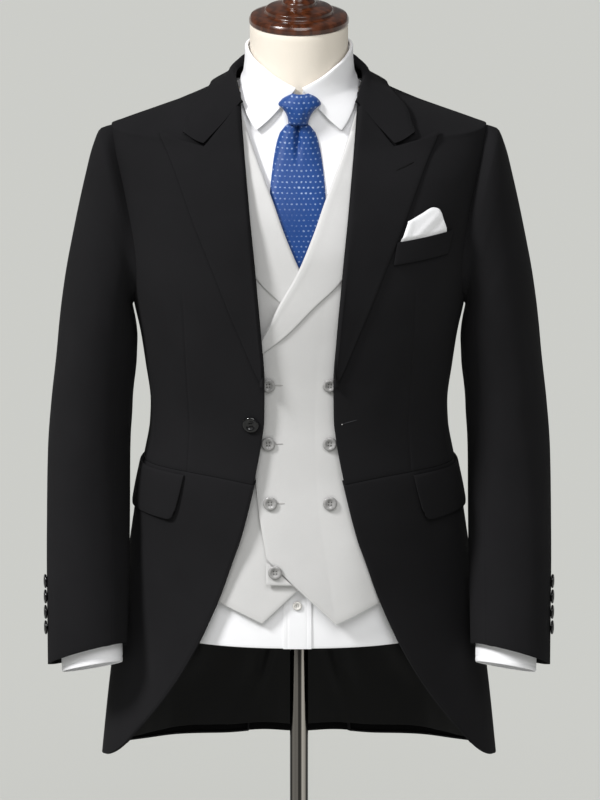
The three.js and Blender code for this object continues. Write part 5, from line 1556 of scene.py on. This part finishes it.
class SUIT_OT_buttons(Operator):
    """Makes the coat's and the waistcoat's buttons and their worked buttonholes"""

    bl_idname = "suit.buttons"
    bl_label = "Buttons and buttonholes"

    def execute(self, context):
        sizes = context.scene.suit_sizes
        black = ("horn_black", "hole", "dark_thread")
        grey = ("horn_grey", "grey_hole", "grey_thread")
        x, z = FRONT_BUTTON
        turn = float(coat.turn_at(x, z))
        seat, out, radius = coat.out(turn, z, 0.35), coat.normal(turn, z), sizes.coat_button / MM
        button("front_button", "coat_front_button", seat, out, radius, *black)
        ring_at = [curve([(r[1], *r) for r in SLEEVE_RINGS], k + 1) for k in range(8)]
        for side, ending in ((1, "left"), (-1, "right")):
            for n in range(4):
                z = CUFF_BUTTONS_FROM + n * CUFF_BUTTONS_STEP
                ring = [float(value(z)) for value in ring_at]
                near, far = (ring_point(ring, np.array([6.0]), -grow)[0] for grow in (0, 1))
                out = (far - near) * (1, 1, 0)
                out /= np.linalg.norm(out)
                name, node = (f"{word}_button_{n + 1}_{ending}" for word in ("sleeve", "cuff"))
                flip = (side, 1, 1)
                button(name, node, (near + out * 0.65) * flip, out * flip, 8.6, *black)
        radius = sizes.vest_button / MM
        for n, (x, z) in enumerate([*VEST_BUTTONS, TAB_BUTTON]):
            turn = float(figure.turn_at(x, z))
            on_front = n < len(VEST_BUTTONS)
            lift = vest_lift(turn, z, True) + 0.75 if on_front else VEST_MIDDLE + VEST_OVER + 0.55
            seat, out = figure.out(turn, z, float(lift) + VEST), figure.normal(turn, z)
            button(f"vest_button_{n + 1}", f"waistcoat_button_{n + 1}", seat, out, radius, *grey)
        for n, (x, z) in enumerate(VEST_BUTTONS[:3]):
            turns = [float(figure.turn_at(x + dx, z)) for dx in (7, 17)]
            ends = [figure.out(t, z, float(vest_lift(t, z, True)) + VEST + 0.1) for t in turns]
            name = f"vest_buttonhole_{n + 1}"
            stitched_slit(name, *ends, figure.normal(0, z), 2.2, "grey_thread")
        on_lapel = OVERLAY + COAT + 0.3
        for name, start, end, rest, width, look in (
            ("front_buttonhole", (52, 1108.7), (70, 1113), 0.1, 1.2, "coat_thread"),
            ("front_eyelet", (50.6, 1108), (52.2, 1108.5), 0.3, 1.5, "grey_thread"),
            ("lapel_buttonhole", (114, 1412), (136, 1420), on_lapel, 2.0, "dark_thread"),
        ):
            ends = [coat.at(float(x), z, rest) for x, z in (start, end)]
            out = coat.normal(float(coat.turn_at(*start)), start[1])
            stitched_slit(name, *ends, out, width, look)
        return {"FINISHED"}


class SUIT_OT_stage(Operator):
    """Makes the floor, the studio light and the camera"""

    bl_idname = "suit.stage"
    bl_label = "Stage"

    def execute(self, context):
        scene = context.scene

        def add(name, data):
            thing = bpy.data.objects.new(name, data)
            scene.collection.objects.link(thing)
            return thing

        bm = bmesh.new()
        bmesh.ops.create_grid(bm, x_segments=8, y_segments=8, size=FLOOR_HALF)
        mesh = bpy.data.meshes.new("floor")
        bm.to_mesh(mesh)
        bm.free()
        new_look("studio_floor", "", scene.suit_colours.floor, 0.9, Specular_IOR_Level=0.1)
        mesh.materials.append(LOOKS["studio_floor"][0])
        add("floor", mesh)
        world = bpy.data.worlds.new("studio")
        world.use_nodes = True
        sky = world.node_tree.nodes["Background"].inputs
        sky[0].default_value, sky[1].default_value = (1, 1, 1, 1), SKY_LIGHT
        scene.world = world
        for name, turn, height, strength, spread in SUNS:
            light = bpy.data.lights.new(name, "SUN")
            light.energy, light.angle = strength, math.radians(spread)
            add(name, light).rotation_euler = (math.radians(90 - height), 0, math.radians(turn))
        camera = bpy.data.cameras.new("camera")
        camera.sensor_fit, camera.sensor_height = "VERTICAL", 36
        camera.lens = camera.sensor_height * CAMERA_AWAY / VIEW_HEIGHT
        camera.clip_end = 400
        eye, (x, z), tilt = add("camera", camera), VIEW_MIDDLE, math.radians(CAMERA_TILT)
        eye.location = (x, -CAMERA_AWAY * math.cos(tilt), z + CAMERA_AWAY * math.sin(tilt))
        eye.rotation_euler = (math.pi / 2 - tilt, 0, 0)
        scene.camera = eye
        scene.view_settings.view_transform = "Standard"
        return {"FINISHED"}


OPERATORS = (
    SUIT_OT_finishes, SUIT_OT_form, SUIT_OT_shirt, SUIT_OT_tie, SUIT_OT_waistcoat, SUIT_OT_coat,
    SUIT_OT_lapels, SUIT_OT_pockets, SUIT_OT_sleeves, SUIT_OT_buttons, SUIT_OT_stage,
)


class SUIT_PT_panel(Panel):
    """Lists the steps and settings of the morning suit"""

    bl_idname = "SUIT_PT_panel"
    bl_label = "Morning suit"
    bl_space_type = "VIEW_3D"
    bl_region_type = "UI"
    bl_category = "Morning suit"

    def draw(self, context):
        for group_of_settings in (context.scene.suit_sizes, context.scene.suit_colours):
            box = self.layout.box()
            for key in type(group_of_settings).__annotations__:
                box.prop(group_of_settings, key)
        for operator in OPERATORS:
            self.layout.operator(operator.bl_idname)


CLASSES = (SuitSizes, SuitColours, *OPERATORS, SUIT_PT_panel)


def register():
    for cls in CLASSES:
        bpy.utils.register_class(cls)
    bpy.types.Scene.suit_sizes = PointerProperty(type=SuitSizes)
    bpy.types.Scene.suit_colours = PointerProperty(type=SuitColours)


def unregister():
    del bpy.types.Scene.suit_colours
    del bpy.types.Scene.suit_sizes
    for cls in reversed(CLASSES):
        bpy.utils.unregister_class(cls)


def main():
    register()
    for operator in OPERATORS:
        module, name = operator.bl_idname.split(".")
        getattr(getattr(bpy.ops, module), name)()


if __name__ == "__main__":
    main()
